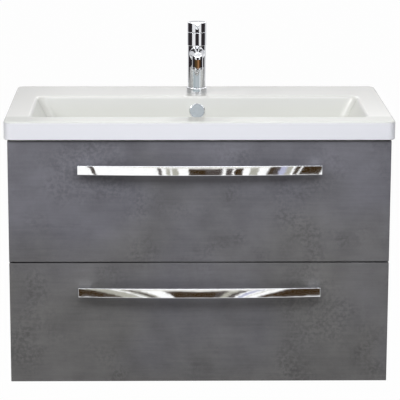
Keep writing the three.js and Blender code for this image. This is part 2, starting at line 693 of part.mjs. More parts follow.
function buildTapLever(tap) {
  const collarBottom = TAP_BODY_TOP + SEAT;
  const collarTop = collarBottom + TAP_COLLAR_H;
  const boreR = tapDomeR + RUNNING;
  const boreBottom = collarTop - 18;
  const collar = turned([
    [0, collarBottom], [tapCollarR - 1.4, collarBottom], [tapCollarR, collarBottom + 1.4],
    [tapCollarR, collarTop - 0.6], [tapCollarR - 0.6, collarTop], [boreR, collarTop],
    [boreR, boreBottom], [0, boreBottom],
  ]);
  place('tap_collar', collar, materials.chrome, tap);

  const pivotZ = collarTop + SEAT;
  const domeSteps = 6;
  const dome = [[0, boreBottom + SEAT], [tapDomeR, boreBottom + SEAT]];
  for (let i = 0; i <= domeSteps; i += 1) {
    const angle = (i / domeSteps) * Math.PI / 2;
    dome.push([tapDomeR * Math.cos(angle), pivotZ + tapDomeR * Math.sin(angle)]);
  }
  dome[dome.length - 1][0] = 0;
  place('tap_cartridge_dome', turned(dome, 24), materials.zinc, tap);

  const headBottom = pivotZ + SEAT;
  const headTop = headBottom + TAP_HEAD_H;
  const head = turned([
    [0, headBottom], [tapCollarR - 0.6, headBottom], [tapCollarR, headBottom + 0.6],
    [tapCollarR, headTop - 1.6], [tapCollarR - 0.5, headTop - 0.5],
    [tapCollarR - 1.6, headTop], [0, headTop + 0.6],
  ]);
  const pocket = new THREE.SphereGeometry(tapDomeR + RUNNING, 24, 12);
  pocket.rotateX(Math.PI / 2).translate(0, 0, pivotZ);
  const rise = Math.tan(THREE.MathUtils.degToRad(TAP_LIFT_DEG)) * 2 * tapCollarR;
  const relief = prism([
    [0, headBottom - CUT], [2 * tapCollarR, headBottom - CUT],
    [2 * tapCollarR, headBottom + rise], [0, headBottom],
  ], -2 * tapCollarR, 2 * tapCollarR).rotateX(Math.PI / 2).rotateZ(Math.PI / 2);
  const pinRootY = -(tapDomeR + 1.5);
  const pinRootZ = headBottom + TAP_HEAD_H * 0.45;
  const pinRise = THREE.MathUtils.degToRad(PIN_RISE_DEG);
  const aimPin = (geometry) => (
    geometry.rotateX(Math.PI / 2 - pinRise).translate(0, pinRootY, pinRootZ)
  );
  const pinBore = aimPin(rod(PIN_R + SEAT, -SEAT, PIN_LENGTH / 2, 0, 0, 20));
  place('tap_lever_head', carve(head, { removed: [pocket, relief, pinBore] }), materials.chrome, tap);

  const pin = turned([
    [0, 0], [PIN_R, 0], [PIN_R, PIN_LENGTH - 1.2], [PIN_R - 0.4, PIN_LENGTH - 0.4],
    [PIN_R - 1.2, PIN_LENGTH], [0, PIN_LENGTH],
  ], 20);
  place('tap_lever_pin', aimPin(pin), materials.chrome, tap);
}

function buildTapFixings(tap) {
  const studTop = TAP_BASE_H + STUD_BITE;
  const stud = rod(STUD_R, studTop - STUD_LENGTH, studTop, 0, 0, 20);
  place('tap_fixing_stud', stud, materials.brass, tap);
  const plateTop = -CERAMIC_T - SEAT;
  const slotR = STUD_R + 1;
  const plateR = TAP_TO_BOWL - CERAMIC_T - CHANNEL_T - CHANNEL_WALL - FIXING_TO_DUCT;
  const plate = new THREE.Shape();
  const mouth = Math.asin(slotR / plateR);
  plate.absarc(0, 0, plateR, Math.PI / 2 + mouth, 2.5 * Math.PI - mouth, false);
  plate.lineTo(slotR, 0);
  plate.absarc(0, 0, slotR, 0, Math.PI, true);
  const plateLow = plateTop - FIXING_PLATE_T;
  place('tap_fixing_plate', prism(plate, plateLow, plateTop, 12), materials.zinc, tap);
  const nutTop = plateLow - SEAT;
  const nut = new THREE.Shape();
  const corners = 6;
  const nutR = 1.7 * STUD_R;
  for (let i = 0; i < corners; i += 1) {
    const angle = (i / corners) * 2 * Math.PI;
    const x = nutR * Math.cos(angle);
    const y = nutR * Math.sin(angle);
    if (i === 0) nut.moveTo(x, y);
    else nut.lineTo(x, y);
  }
  const bore = new THREE.Path();
  bore.absarc(0, 0, STUD_R + SEAT, 0, 2 * Math.PI, true);
  nut.holes.push(bore);
  place('tap_fixing_nut', prism(nut, nutTop - FIXING_NUT_H, nutTop, 10), materials.brass, tap);
}

// ---------------------------------------------------------------- bow handle

/** Section of the bar at one station: flat back, front edges that soften towards mid length. */
function handleStation(x) {
  const t = (2 * x) / HANDLE_LENGTH;
  const swell = 1 - t * t;
  const front = -(HANDLE_STANDOFF + HANDLE_BOW * swell);
  const back = front + HANDLE_T;
  const half = HANDLE_H / 2 + (HANDLE_CROWN_H / 2) * swell;
  const ease = HANDLE_END_EASE + HANDLE_MID_EASE * swell;
  const easeBack = HANDLE_BACK_EASE;
  const steps = 4;
  const ring = [];
  const arc = (cy, cz, r, from) => {
    for (let i = 0; i <= steps; i += 1) {
      const angle = from + (i / steps) * Math.PI / 2;
      ring.push(new THREE.Vector3(x, cy + r * Math.cos(angle), cz + r * Math.sin(angle)));
    }
  };
  arc(back - easeBack, half - easeBack, easeBack, 0);
  arc(front + ease, half - ease, ease, Math.PI / 2);
  arc(front + ease, -half + ease, ease, Math.PI);
  arc(back - easeBack, -half + easeBack, easeBack, 1.5 * Math.PI);
  return ring;
}

/** The whole handle on a panel face at Y = 0, reaching out to -Y. */
function handleGeometry() {
  const stations = 26;
  const rings = [];
  const half = HANDLE_LENGTH / 2;
  for (let i = 0; i <= stations; i += 1) {
    rings.push(handleStation(half * (2 * (i / stations) - 1)));
  }
  const bar = loft(rings);
  const seatY = -SEAT;
  const buriedY = -(HANDLE_STANDOFF - HANDLE_T / 2);
  const filletY = buriedY + HANDLE_T / 2 + HANDLE_FOOT_R;
  const footH = HANDLE_H - HANDLE_BACK_EASE;
  const feet = [];
  const holes = [];
  for (const [, side] of sides) {
    const foot = new THREE.Shape();
    const inner = half - HANDLE_FOOT_L;
    const filletX = inner - HANDLE_FOOT_R;
    foot.moveTo(half, seatY);
    foot.lineTo(inner, seatY);
    foot.lineTo(inner, filletY);
    foot.absarc(filletX, filletY, HANDLE_FOOT_R, 0, -Math.PI / 2, true);
    foot.lineTo(filletX, buriedY);
    foot.lineTo(half, buriedY);
    feet.push(handed(prism(foot, -footH / 2, footH / 2, 5), side));
    const hole = rod(SCREW_R + SEAT, -CUT, SCREW_BITE + SEAT, 0, 0, 14).rotateX(Math.PI / 2);
    holes.push(hole.translate(side * handleHoles / 2, 0, 0));
  }
  return carve(bar, { added: feet, removed: holes });
}

function screwGeometry() {
  const shank = FRONT_T + SCREW_BITE;
  return turned([
    [0, -SCREW_HEAD_T - SEAT], [SCREW_HEAD_R - 1, -SCREW_HEAD_T - SEAT],
    [SCREW_HEAD_R, -SCREW_HEAD_T - SEAT + 1], [SCREW_HEAD_R, -SEAT], [SCREW_R, -SEAT],
    [SCREW_R, shank], [0, shank],
  ], 14).rotateX(Math.PI / 2);
}

// ---------------------------------------------------------------- drawer runners

/** A sheet channel from its web to the free edges of its flanges, bent in where `lip` is not zero. */
function runnerSection(web, edge, half, lip) {
  const dir = Math.sign(edge - web);
  const skin = (inset) => {
    const bend = RUNNER_BEND - inset * (2 - Math.SQRT2);
    const back = web + dir * inset;
    const free = lip > 0 ? edge - dir * inset : edge;
    const top = half - inset;
    const rim = lip > 0
      ? [[free, half - lip], [free, top - bend], [free - dir * bend, top]]
      : [[free, top]];
    const upper = [...rim, [back + dir * bend, top], [back, top - bend]];
    const lower = upper.map(([x, z]) => [x, -z]).reverse();
    return [...upper, ...lower];
  };
  return [...skin(0), ...skin(RUNNER_SHEET).reverse()];
}

/** One of a runner's three nested members, drawn for the right side. */
function runnerGeometry(member) {
  const wall = innerX;
  const drawer = innerX - RUNNER_W;
  const step = RUNNER_LIP + RUNNING;
  const inside = RUNNER_SHEET + RUNNING;
  const members = {
    cabinet: [wall, wall - RUNNER_CABINET_D, RUNNER_LIP, runnerLength, RUNNER_SETBACK],
    middle: [wall - inside, drawer + inside, RUNNER_LIP, runnerLength - RUNNER_MIDDLE_SHORT,
      RUNNER_MIDDLE_SETBACK],
    drawer: [drawer, drawer + RUNNER_DRAWER_D, 0, runnerLength, RUNNER_SETBACK],
  };
  const depthOrder = Object.keys(members).indexOf(member);
  const [web, edge, lip, length, setback] = members[member];
  const y0 = -(CARCASS_D - setback);
  const section = runnerSection(web, edge, RUNNER_H / 2 - depthOrder * step, lip);
  return channel(section, y0, y0 + length);
}

// ---------------------------------------------------------------- drawers

/** A drawer side with the floor's groove on its inner face. */
function drawerSideGeometry(height) {
  const x0 = drawerInnerX;
  const x1 = drawerOuterX;
  const g0 = GROOVE_UP;
  const g1 = GROOVE_UP + DRAWER_FLOOR_T + 2 * SEAT;
  const section = [
    [x0, 0], [x1, 0], [x1, height], [x0, height],
    [x0, g1], [x0 + GROOVE_DEPTH, g1], [x0 + GROOVE_DEPTH, g0], [x0, g0],
  ];
  return channel(section, frontBackY + SEAT, drawerBackY);
}

/** A drawer front with eased edges and two screw holes for its handle. */
function drawerFrontGeometry() {
  const e = FRONT_EASE;
  const w = CABINET_W / 2 - e;
  const h = frontH;
  const outline = new THREE.Shape([
    new THREE.Vector2(-w, e), new THREE.Vector2(w, e),
    new THREE.Vector2(w, h - e), new THREE.Vector2(-w, h - e),
  ]);
  const slab = new THREE.ExtrudeGeometry(outline, {
    depth: FRONT_T - 2 * e,
    bevelThickness: e,
    bevelSize: e,
    bevelSegments: 2,
  });
  slab.rotateX(Math.PI / 2).translate(0, frontBackY - e, 0);
  const holes = sides.map(([, side]) => {
    const hole = rod(SCREW_R + SEAT, -CUT, FRONT_T + CUT, 0, 0, 14).rotateX(Math.PI / 2);
    return hole.translate(side * handleHoles / 2, frontBackY, h - HANDLE_DROP);
  });
  return carve(slab, { removed: holes });
}

/** The angle that ties a drawer side to the front, standing on the drawer floor. */
function bracketGeometry(z0) {
  const x = drawerInnerX - SEAT;
  const y = frontBackY + SEAT;
  return prism([
    [x, y], [x, y + BRACKET_LEG], [x - BRACKET_T, y + BRACKET_LEG],
    [x - BRACKET_T, y + BRACKET_T], [x - BRACKET_LEG, y + BRACKET_T], [x - BRACKET_LEG, y],
  ], z0, z0 + BRACKET_H);
}

/** The plan of the siphon recess in the upper drawer, as a U open at the drawer's back. */
function siphonPlan(grow, backY) {
  const half = SIPHON_W / 2 + grow;
  const endY = drainY - SIPHON_PAST_DRAIN - grow;
  const r = SIPHON_CORNER_R + grow;
  const plan = new THREE.Shape();
  plan.moveTo(half, backY);
  plan.lineTo(-half, backY);
  plan.lineTo(-half, endY + r);
  plan.absarc(-half + r, endY + r, r, Math.PI, 1.5 * Math.PI, false);
  plan.lineTo(half - r, endY);
  plan.absarc(half - r, endY + r, r, 1.5 * Math.PI, 2 * Math.PI, false);
  return plan;
}

function buildDrawer(level, frontZ, sideH) {
  const drawer = new THREE.Group();
  drawer.position.z = frontZ;
  vanity.add(drawer);
  const add = (name, geometry, material) => place(`${level}_${name}`, geometry, material, drawer);
  const hasSiphon = level === 'upper';

  add('front', drawerFrontGeometry(), materials.concreteDecor);
  const handleZ = frontH - HANDLE_DROP;
  add('handle', handleGeometry().translate(0, frontFaceY, handleZ), materials.chrome);

  const floorZ = DRAWER_LIFT + GROOVE_UP + SEAT;
  const floorTop = floorZ + DRAWER_FLOOR_T;
  const floorW = 2 * (drawerInnerX + GROOVE_DEPTH - SEAT);
  const floorD = drawerDepth - 2 * SEAT;
  const floorY = (frontBackY + drawerBackY) / 2;
  const floor = box(floorW, floorD, DRAWER_FLOOR_T, 0, floorY, floorZ + DRAWER_FLOOR_T / 2);
  const wallZ0 = floorTop + SEAT;
  const wallZ1 = DRAWER_LIFT + sideH;
  const backY0 = drawerBackY - DRAWER_BOARD;
  const backInnerX = drawerInnerX - SEAT;
  if (hasSiphon) {
    const recess = prism(siphonPlan(0, drawerBackY + CUT), floorZ - CUT, floorTop + CUT, 8);
    add('floor', carve(floor, { removed: [recess] }), materials.drawerBoard);
    const ring = solid(prism(siphonPlan(SIPHON_GUARD_T, drawerBackY), wallZ0, wallZ1, 8))
      .subtract(solid(prism(siphonPlan(0, drawerBackY + CUT), wallZ0 - CUT, wallZ1 + CUT, 8)));
    add('siphon_guard', fromSolid(ring), materials.guard);
    const backEdge = SIPHON_W / 2 + SIPHON_GUARD_T + SEAT;
    const backW = backInnerX - backEdge;
    for (const [word, side] of sides) {
      const x = side * (backEdge + backW / 2);
      const back = box(backW, DRAWER_BOARD, wallZ1 - wallZ0, x, backY0 + DRAWER_BOARD / 2,
        (wallZ0 + wallZ1) / 2);
      add(`back_${word}`, back, materials.drawerBoard);
    }
  } else {
    add('floor', floor, materials.drawerBoard);
    const back = box(2 * backInnerX, DRAWER_BOARD, wallZ1 - wallZ0, 0, backY0 + DRAWER_BOARD / 2,
      (wallZ0 + wallZ1) / 2);
    add('back', back, materials.drawerBoard);
  }

  const runnerZ = DRAWER_LIFT + RUNNER_UP;
  for (const [word, side] of sides) {
    const drawerSide = drawerSideGeometry(sideH).translate(0, 0, DRAWER_LIFT);
    add(`side_${word}`, handed(drawerSide, side), materials.drawerBoard);
    add(`front_bracket_${word}`, handed(bracketGeometry(wallZ0), side), materials.zinc);
    const screw = screwGeometry().translate(side * handleHoles / 2, frontBackY, handleZ);
    add(`handle_screw_${word}`, screw, materials.zinc);
    for (const member of ['cabinet', 'middle', 'drawer']) {
      const runner = handed(runnerGeometry(member), side).translate(0, 0, runnerZ);
      add(`runner_${member}_${word}`, runner, materials.zinc);
    }
  }
}

// ---------------------------------------------------------------- assembly

buildCarcass();
buildBasin();
buildWaste();
buildTap();
buildDrawer('lower', 0, lowerSideH);
buildDrawer('upper', upperFrontZ, upperSideH);

export default vanity;
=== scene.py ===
"""A wall-hung vanity with a ceramic basin, a mixer tap and two drawers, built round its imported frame."""

import json
import logging
import math
from collections.abc import Callable, Iterable, Sequence
from dataclasses import dataclass
from enum import Enum
from functools import cached_property

import bmesh
import bpy
from mathutils import Matrix, Vector

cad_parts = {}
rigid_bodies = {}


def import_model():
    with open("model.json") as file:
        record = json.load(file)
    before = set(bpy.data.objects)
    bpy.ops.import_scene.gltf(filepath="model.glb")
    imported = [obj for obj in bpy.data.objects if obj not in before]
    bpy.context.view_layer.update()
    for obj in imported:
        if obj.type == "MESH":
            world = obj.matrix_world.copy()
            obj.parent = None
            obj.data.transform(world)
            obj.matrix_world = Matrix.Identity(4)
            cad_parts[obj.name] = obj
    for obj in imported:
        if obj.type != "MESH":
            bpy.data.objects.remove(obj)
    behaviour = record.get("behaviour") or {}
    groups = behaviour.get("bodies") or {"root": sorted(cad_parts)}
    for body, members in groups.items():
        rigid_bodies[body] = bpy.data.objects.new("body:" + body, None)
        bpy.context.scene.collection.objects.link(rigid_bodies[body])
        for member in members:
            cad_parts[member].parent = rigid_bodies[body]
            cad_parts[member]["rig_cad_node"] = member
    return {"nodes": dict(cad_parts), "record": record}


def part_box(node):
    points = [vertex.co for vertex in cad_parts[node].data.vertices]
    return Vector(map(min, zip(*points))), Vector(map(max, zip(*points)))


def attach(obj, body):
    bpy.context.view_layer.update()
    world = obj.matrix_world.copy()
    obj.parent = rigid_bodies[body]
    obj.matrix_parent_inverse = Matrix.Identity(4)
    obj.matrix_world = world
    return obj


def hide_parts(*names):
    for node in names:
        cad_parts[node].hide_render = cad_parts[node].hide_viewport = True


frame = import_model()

log = logging.getLogger("vanity")

MM = 0.001
NEAR = 1e-5
SAME_SIZE = 1e-6
LOOP_SLACK = 0.02 * MM
MERGE = 0.005 * MM
Colour = tuple[float, float, float, float]
Triple = tuple[float, float, float]
Profile = Sequence[tuple[float, float]]
Test = Callable[[Vector, Vector], bool]
Tones = tuple[tuple[float, Colour], ...]
RAYS = ("Camera", "Glossy", "Transmission")


# ---------------------------------------------------------------- named options


class Pick(Enum):
    """What a selection is made of."""

    CORNERS = "VERT"
    EDGES = "EDGE"
    FACES = "FACE"


class Tier(Enum):
    """The two drawers, by the word that starts their nodes' names."""

    UPPER = "upper"
    LOWER = "lower"


class Join(Enum):
    """How two solids are put together."""

    CUT = "DIFFERENCE"
    ADD = "UNION"


# ---------------------------------------------------------------- shader maths


def srgb(red: float, green: float, blue: float) -> Colour:
    """Gives a linear colour for display values from 0 to 255.

    Args:
        red: The red display value.
        green: The green display value.
        blue: The blue display value.

    Returns:
        The linear colour, with an alpha of 1.
    """

    def linear(value: float) -> float:
        """Undoes the display curve for one value."""
        share = value / 255
        return share / 12.92 if share <= 0.04045 else ((share + 0.055) / 1.055) ** 2.4

    return (linear(red), linear(green), linear(blue), 1.0)


class Field:
    """A value that varies over a surface, on which Python's operators add Math nodes."""

    def __init__(self, shader: "Shader", socket: bpy.types.NodeSocket) -> None:
        """Wraps one output socket of a shader's node."""
        self.shader = shader
        self.socket = socket

    def math(self, operation: str, *values: "Field | float", clamp: bool = False) -> "Field":
        """Feeds values to a Math node.

        Args:
            operation: The node's operation.
            values: The node's inputs, in order.
            clamp: Whether the result is held between 0 and 1.

        Returns:
            The node's result.
        """
        settings = {"operation": operation, "use_clamp": clamp}
        node = self.shader.node("ShaderNodeMath", settings, dict(enumerate(values)))
        return Field(self.shader, node.outputs[0])

    def __add__(self, other: "Field | float") -> "Field":
        """Adds."""
        return self.math("ADD", self, other)

    def __radd__(self, other: float) -> "Field":
        """Adds, from the right."""
        return self.math("ADD", other, self)

    def __sub__(self, other: "Field | float") -> "Field":
        """Subtracts."""
        return self.math("SUBTRACT", self, other)

    def __rsub__(self, other: float) -> "Field":
        """Subtracts this from a number."""
        return self.math("SUBTRACT", other, self)

    def __mul__(self, other: "Field | float") -> "Field":
        """Multiplies."""
        return self.math("MULTIPLY", self, other)

    def __rmul__(self, other: float) -> "Field":
        """Multiplies, from the right."""
        return self.math("MULTIPLY", other, self)

    def __truediv__(self, other: "Field | float") -> "Field":
        """Divides."""
        return self.math("DIVIDE", self, other)

    def __rtruediv__(self, other: float) -> "Field":
        """Divides a number by this."""
        return self.math("DIVIDE", other, self)

    def wave(self) -> "Field":
        """Gives the sine."""
        return self.math("SINE", self)

    def unsigned(self) -> "Field":
        """Gives the value without its sign."""
        return self.math("ABSOLUTE", self)

    def clamped(self) -> "Field":
        """Holds the value between 0 and 1."""
        return self.math("ADD", self, 0.0, clamp=True)

    def over(self, limit: float, softness: float) -> "Field":
        """Gives 0 below a limit and 1 above it, with a soft step of a given width."""
        return self.math("ADD", (self - limit) / softness, 0.5, clamp=True)


class Shader:
    """The nodes of one material or of the world, with the few patterns that the finishes share."""

    def __init__(self, owner: bpy.types.Material | bpy.types.World) -> None:
        """Empties the owner's node tree.

        Args:
            owner: The material or world that the nodes belong to.
        """
        owner.use_nodes = True
        self.owner = owner
        self.tree = owner.node_tree
        self.tree.nodes.clear()

    @classmethod
    def material(cls, name: str) -> "Shader":
        """Starts a new material."""
        return cls(bpy.data.materials.new(name))

    @cached_property
    def coordinates(self) -> bpy.types.bpy_prop_collection:
        """The sockets that give a place's coordinates."""
        return self.node("ShaderNodeTexCoord", {}, {}).outputs

    def node(self, kind: str, settings: dict, sockets: dict) -> bpy.types.Node:
        """Adds a node, sets it up and then feeds it.

        Args:
            kind: The node's type name.
            settings: Properties to set first; "stops" and "interpolation" are a colour ramp's.
            sockets: Values or links by socket name or number.

        Returns:
            The new node.
        """
        node = self.tree.nodes.new(kind)
        for key, value in settings.items():
            if key == "interpolation":
                node.color_ramp.interpolation = value
            elif key == "stops":
                ramp = node.color_ramp.elements
                while len(ramp) < len(value):
                    ramp.new(1.0)
                for stop, (at, colour) in zip(ramp, value, strict=True):
                    stop.position = at
                    stop.color = colour
            else:
                setattr(node, key, value)
        for key, value in sockets.items():
            socket = node.inputs[key]
            if isinstance(value, Field):
                value = value.socket
            if isinstance(value, bpy.types.NodeSocket):
                self.tree.links.new(value, socket)
            else:
                socket.default_value = value
        return node

    def mapped(self, scale: Triple, shift: Triple = (0, 0, 0)) -> bpy.types.NodeSocket:
        """Gives object coordinates that are scaled and shifted by a Mapping node."""
        sockets = {"Vector": self.coordinates["Object"], "Location": shift, "Scale": scale}
        return self.node("ShaderNodeMapping", {}, sockets).outputs[0]

    def noise(
        self,
        scale: float,
        detail: float = 3.0,
        roughness: float = 0.5,
        vector: bpy.types.NodeSocket | None = None,
        distortion: float = 0.0,
    ) -> Field:
        """Adds a noise pattern.

        Args:
            scale: Features per metre, roughly.
            detail: How many finer layers it has.
            roughness: How strong the finer layers are.
            vector: Coordinates, or None for the object's own.
            distortion: How much the pattern is warped.

        Returns:
            The pattern, from 0 to 1 about a mean of 0.5.
        """
        sockets = {
            "Vector": vector or self.coordinates["Object"],
            "Scale": scale,
            "Detail": detail,
            "Roughness": roughness,
            "Distortion": distortion,
        }
        return Field(self, self.node("ShaderNodeTexNoise", {}, sockets).outputs[0])

    def cells(self, scale: float) -> bpy.types.Node:
        """Adds a Voronoi pattern on object coordinates."""
        sockets = {"Vector": self.coordinates["Object"], "Scale": scale}
        return self.node("ShaderNodeTexVoronoi", {}, sockets)

    def blend(
        self,
        factor: Field | float,
        first: Colour | bpy.types.NodeSocket,
        second: Colour | bpy.types.NodeSocket,
        how: str = "MIX",
    ) -> bpy.types.NodeSocket:
        """Mixes two colours with a Mix node and gives the result's socket."""
        settings = {"data_type": "RGBA", "blend_type": how, "clamp_factor": True}
        return self.node("ShaderNodeMix", settings, {0: factor, 6: first, 7: second}).outputs[2]

    def axis(self, number: int, source: str = "Object") -> Field:
        """Gives one part of the object coordinates or the normal: 0, 1 or 2 for X, Y or Z."""
        split = self.node("ShaderNodeSeparateXYZ", {}, {0: self.coordinates[source]})
        return Field(self, split.outputs[number])

    def seen(self) -> Field:
        """Gives 1 where a place is seen, straight or by a mirror or glass, and 0 where it lights.

        Returns:
            The share, from 0 to 1.
        """
        rays = self.node("ShaderNodeLightPath", {}, {}).outputs
        camera, glossy, glass = (Field(self, rays[f"Is {ray} Ray"]) for ray in RAYS)
        return (camera + glossy + glass).clamped()

    def relief(self, height: Field, strength: float, distance: float) -> bpy.types.NodeSocket:
        """Gives a normal that a height pattern bends.

        Args:
            height: The pattern.
            strength: How far the normal bends, from 0 to 1.
            distance: The relief's depth in metres.

        Returns:
            The Bump node's normal.
        """
        sockets = {"Height": height, "Strength": strength, "Distance": distance}
        return self.node("ShaderNodeBump", {}, sockets).outputs[0]

    def close(
        self, colour: bpy.types.NodeSocket, rough: Field, normal: bpy.types.NodeSocket, **more: object
    ) -> bpy.types.Material:
        """Ends the material with a Principled shader.

        Args:
            colour: The surface's colour.
            rough: Its roughness.
            normal: Its bent normal.
            more: Other inputs, with underscores for the spaces in their names.

        Returns:
            The finished material.
        """
        sockets = {"Base Color": colour, "Roughness": rough, "Normal": normal}
        sockets |= {key.replace("_", " "): value for key, value in more.items()}
        return self.end(self.node("ShaderNodeBsdfPrincipled", {}, sockets))

    def end(self, surface: bpy.types.Node) -> bpy.types.Material | bpy.types.World:
        """Joins the last node to the output and gives the material or world.

        Args:
            surface: The node whose first output the output node takes.

        Returns:
            The finished material or world.
        """
        kind = "World" if isinstance(self.owner, bpy.types.World) else "Material"
        self.node(f"ShaderNodeOutput{kind}", {}, {"Surface": surface.outputs[0]})
        return self.owner


# ---------------------------------------------------------------- finishes


class Finish:
    """A finish: it makes its material once and puts it on pieces and nodes."""

    slot = ""
    _made: dict[object, bpy.types.Material] = {}

    def paint(self) -> bpy.types.Material:
        """Builds the material."""
        raise NotImplementedError

    def dress(self, *objects: bpy.types.Object) -> None:
        """Gives the finish to objects, in place of any other.

        Args:
            objects: New pieces or CAD nodes.
        """
        if self not in Finish._made:
            Finish._made[self] = self.paint()
        for obj in objects:
            obj.data.materials.clear()
            obj.data.materials.append(Finish._made[self])
            "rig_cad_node" not in obj


@dataclass(frozen=True)
class ConcreteDecor(Finish):
    """Melamine board with a mottled grey concrete decor, satin and slightly pored."""

    slot: str = "concrete_decor"
    dark: Colour = srgb(67, 66, 69)
    light: Colour = srgb(127, 126, 130)
    warm: Colour = srgb(255, 254, 245)
    cool: Colour = srgb(248, 248, 255)
    patches: float = 17.0
    trowel: tuple[float, float, float] = (9.0, 9.0, 150.0)
    mottle: float = 125.0
    mottled_share: float = 0.56
    grain: float = 900.0
    gloss: float = 0.4
    # painted light: mid_height and fade make the decor lighter towards the top, as if lit from above
    mid_height: float = -0.28
    fade: float = 0.4
    # painted light: this field turns the tint cooler towards the top, like cool light from above
    painted_top_cool_light: float = 0.9

    def paint(self) -> bpy.types.Material:
        """Builds the decor from clouds, faint trowel lines, dark mottled places and a print grain, with
        painted light that makes it lighter and cooler towards the top.

        Returns:
            The material.
        """
        shader = Shader.material(self.slot)
        patches = shader.noise(self.patches, 4, 0.62)
        clouds = shader.noise(4.2, 3, 0.5)
        trowel = shader.noise(1.0, 4, 0.65, shader.mapped(self.trowel), 0.5)
        grain = shader.noise(self.grain, 2, 0.5)
        where = shader.noise(6.5, 3, 0.6, shader.mapped((1, 1, 1), (0.31, 0, 0.12)))
        where = where.over(self.mottled_share, 0.12)
        spots = shader.noise(self.mottle, 3, 0.6).over(0.5, 0.16)
        tone = 0.5 + 0.6 * (patches - 0.5) + 0.36 * (trowel - 0.5) + 0.6 * (clouds - 0.5)
        height = shader.axis(2) - self.mid_height
        # painted light: fade times height lightens the tone towards the top
        tone = tone + 0.3 * (grain - 0.5) - 0.24 * where * (spots - 0.15) + self.fade * height
        grey = shader.blend(tone.clamped(), self.dark, self.light)
        # painted light: drift takes a cooler tint towards the top
        drift = shader.noise(3.2, 2, 0.5) + self.painted_top_cool_light * height
        tint = shader.blend(drift.over(0.5, 0.3), self.warm, self.cool)
        colour = shader.blend(1.0, grey, tint, "MULTIPLY")
        pores = shader.noise(2300.0, 1, 0.5)
        rough = self.gloss + 0.14 * patches
        normal = shader.relief(0.6 * pores + 0.4 * grain, 0.1, 0.1 * MM)
        return shader.close(colour, rough, normal)


@dataclass(frozen=True)
class CarcassBoard(Finish):
    """Grey melamine board of the carcass, plainer than the decor, with a pearl texture."""

    slot: str = "carcass_board"
    dark: Colour = srgb(98, 97, 98)
    light: Colour = srgb(118, 117, 119)
    pearl: float = 700.0

    def paint(self) -> bpy.types.Material:
        """Builds a soft cloudy grey with an even pearl relief.

        Returns:
            The material.
        """
        shader = Shader.material(self.slot)
        cloud = shader.noise(26.0, 4, 0.55)
        pearl = shader.noise(self.pearl, 2, 0.4)
        colour = shader.blend(0.7 * cloud + 0.3 * pearl, self.dark, self.light)
        normal = shader.relief(pearl, 0.2, 0.12 * MM)
        return shader.close(colour, 0.52 + 0.1 * pearl, normal)


@dataclass(frozen=True)
class DrawerBoard(Finish):
    """Light grey board of the drawer boxes, printed with a fine linen weave."""

    slot: str = "drawer_board"
    dark: Colour = srgb(158, 157, 153)
    light: Colour = srgb(186, 185, 181)
    thread: float = 900.0

    def paint(self) -> bpy.types.Material:
        """Builds crossed threads that fade in and out.

        Returns:
            The material.
        """
        shader = Shader.material(self.slot)
        pace = self.thread * 2.2
        along = (shader.axis(1) * pace).wave()
        across = ((shader.axis(2) + shader.axis(0)) * pace).wave()
        fade = shader.noise(60.0, 3, 0.6)
        weave = 0.5 + 0.14 * along * fade + 0.14 * across * (1 - fade) + 0.7 * (fade - 0.5)
        colour = shader.blend(weave.clamped(), self.dark, self.light)
        normal = shader.relief(along + across, 0.12, 0.05 * MM)
        return shader.close(colour, 0.45 + 0.15 * fade, normal)


@dataclass(frozen=True)
class GlazedCeramic(Finish):
    """White sanitary ceramic: gloss glaze above, a matt unglazed body below."""

    slot: str = "glazed_ceramic"
    glaze: Colour = srgb(234, 233, 229)
    # painted shade: the darker tone given to the bowl's inside and the front ledge
    painted_shade_glaze: Colour = srgb(218, 218, 213)
    # painted light: a cool tint for the apron and outer sides below the rim
    painted_apron_cool_light: Colour = srgb(233, 233, 238)
    # painted shade on the top of the front ledge
    painted_ledge_shade: Colour = srgb(203, 204, 198)
    body: Colour = srgb(206, 202, 192)
    ripple: float = 34.0
    bowl_middle: float = -0.273
    bowl_half: tuple[float, float] = (0.357, 0.1335)
    front_ledge: float = -0.405

    def paint(self) -> bpy.types.Material:
        """Builds a glaze with painted shade in the bowl and on the front ledge, a painted cool light tint
        on the apron and outer sides, and a bare body underneath.

        Returns:
            The material.
        """
        shader = Shader.material(self.slot)
        pool = shader.noise(6.0, 3, 0.5)
        ripple = shader.noise(self.ripple, 2, 0.4)
        speck = shader.noise(420.0, 2, 0.5)
        bare = (0 - shader.axis(2, "Normal")).over(0.7, 0.2)
        below = (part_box("washbasin")[1].z - shader.axis(2)).over(0.003, 0.004)
        across = (self.bowl_half[0] - shader.axis(0).unsigned()).over(0, 0.01)
        inside = across * (self.bowl_half[1] - (shader.axis(1) - self.bowl_middle).unsigned()).over(0, 0.01)
        front = (self.front_ledge - shader.axis(1)).over(0, 0.02)
        # painted shade: the bowl's inside and the front ledge take the darker glaze tone
        painted_shade_share = (below * inside + front).clamped() * (0.8 + 0.4 * pool) + 0.25 * pool
        white = shader.blend(painted_shade_share.clamped(), self.glaze, self.painted_shade_glaze)
        # painted shade: darkens the front ledge's top above the rim line
        white = shader.blend(0.8 * front * (1 - below), white, self.painted_ledge_shade)
        # painted light: the apron and outer sides below the rim take a cool light tint
        white = shader.blend(below * (1 - inside), white, self.painted_apron_cool_light)
        clay = shader.blend(speck.over(0.62, 0.1), self.body, srgb(190, 184, 172))
        colour = shader.blend(bare, white, clay)
        rough = 0.22 + 0.06 * pool + 0.5 * bare
        normal = shader.relief(ripple + 0.04 * speck, 0.035, 1.0 * MM)
        coat = 0.25 * (1 - bare)
        return shader.close(colour, rough, normal, Coat_Weight=coat, Coat_Roughness=0.09)


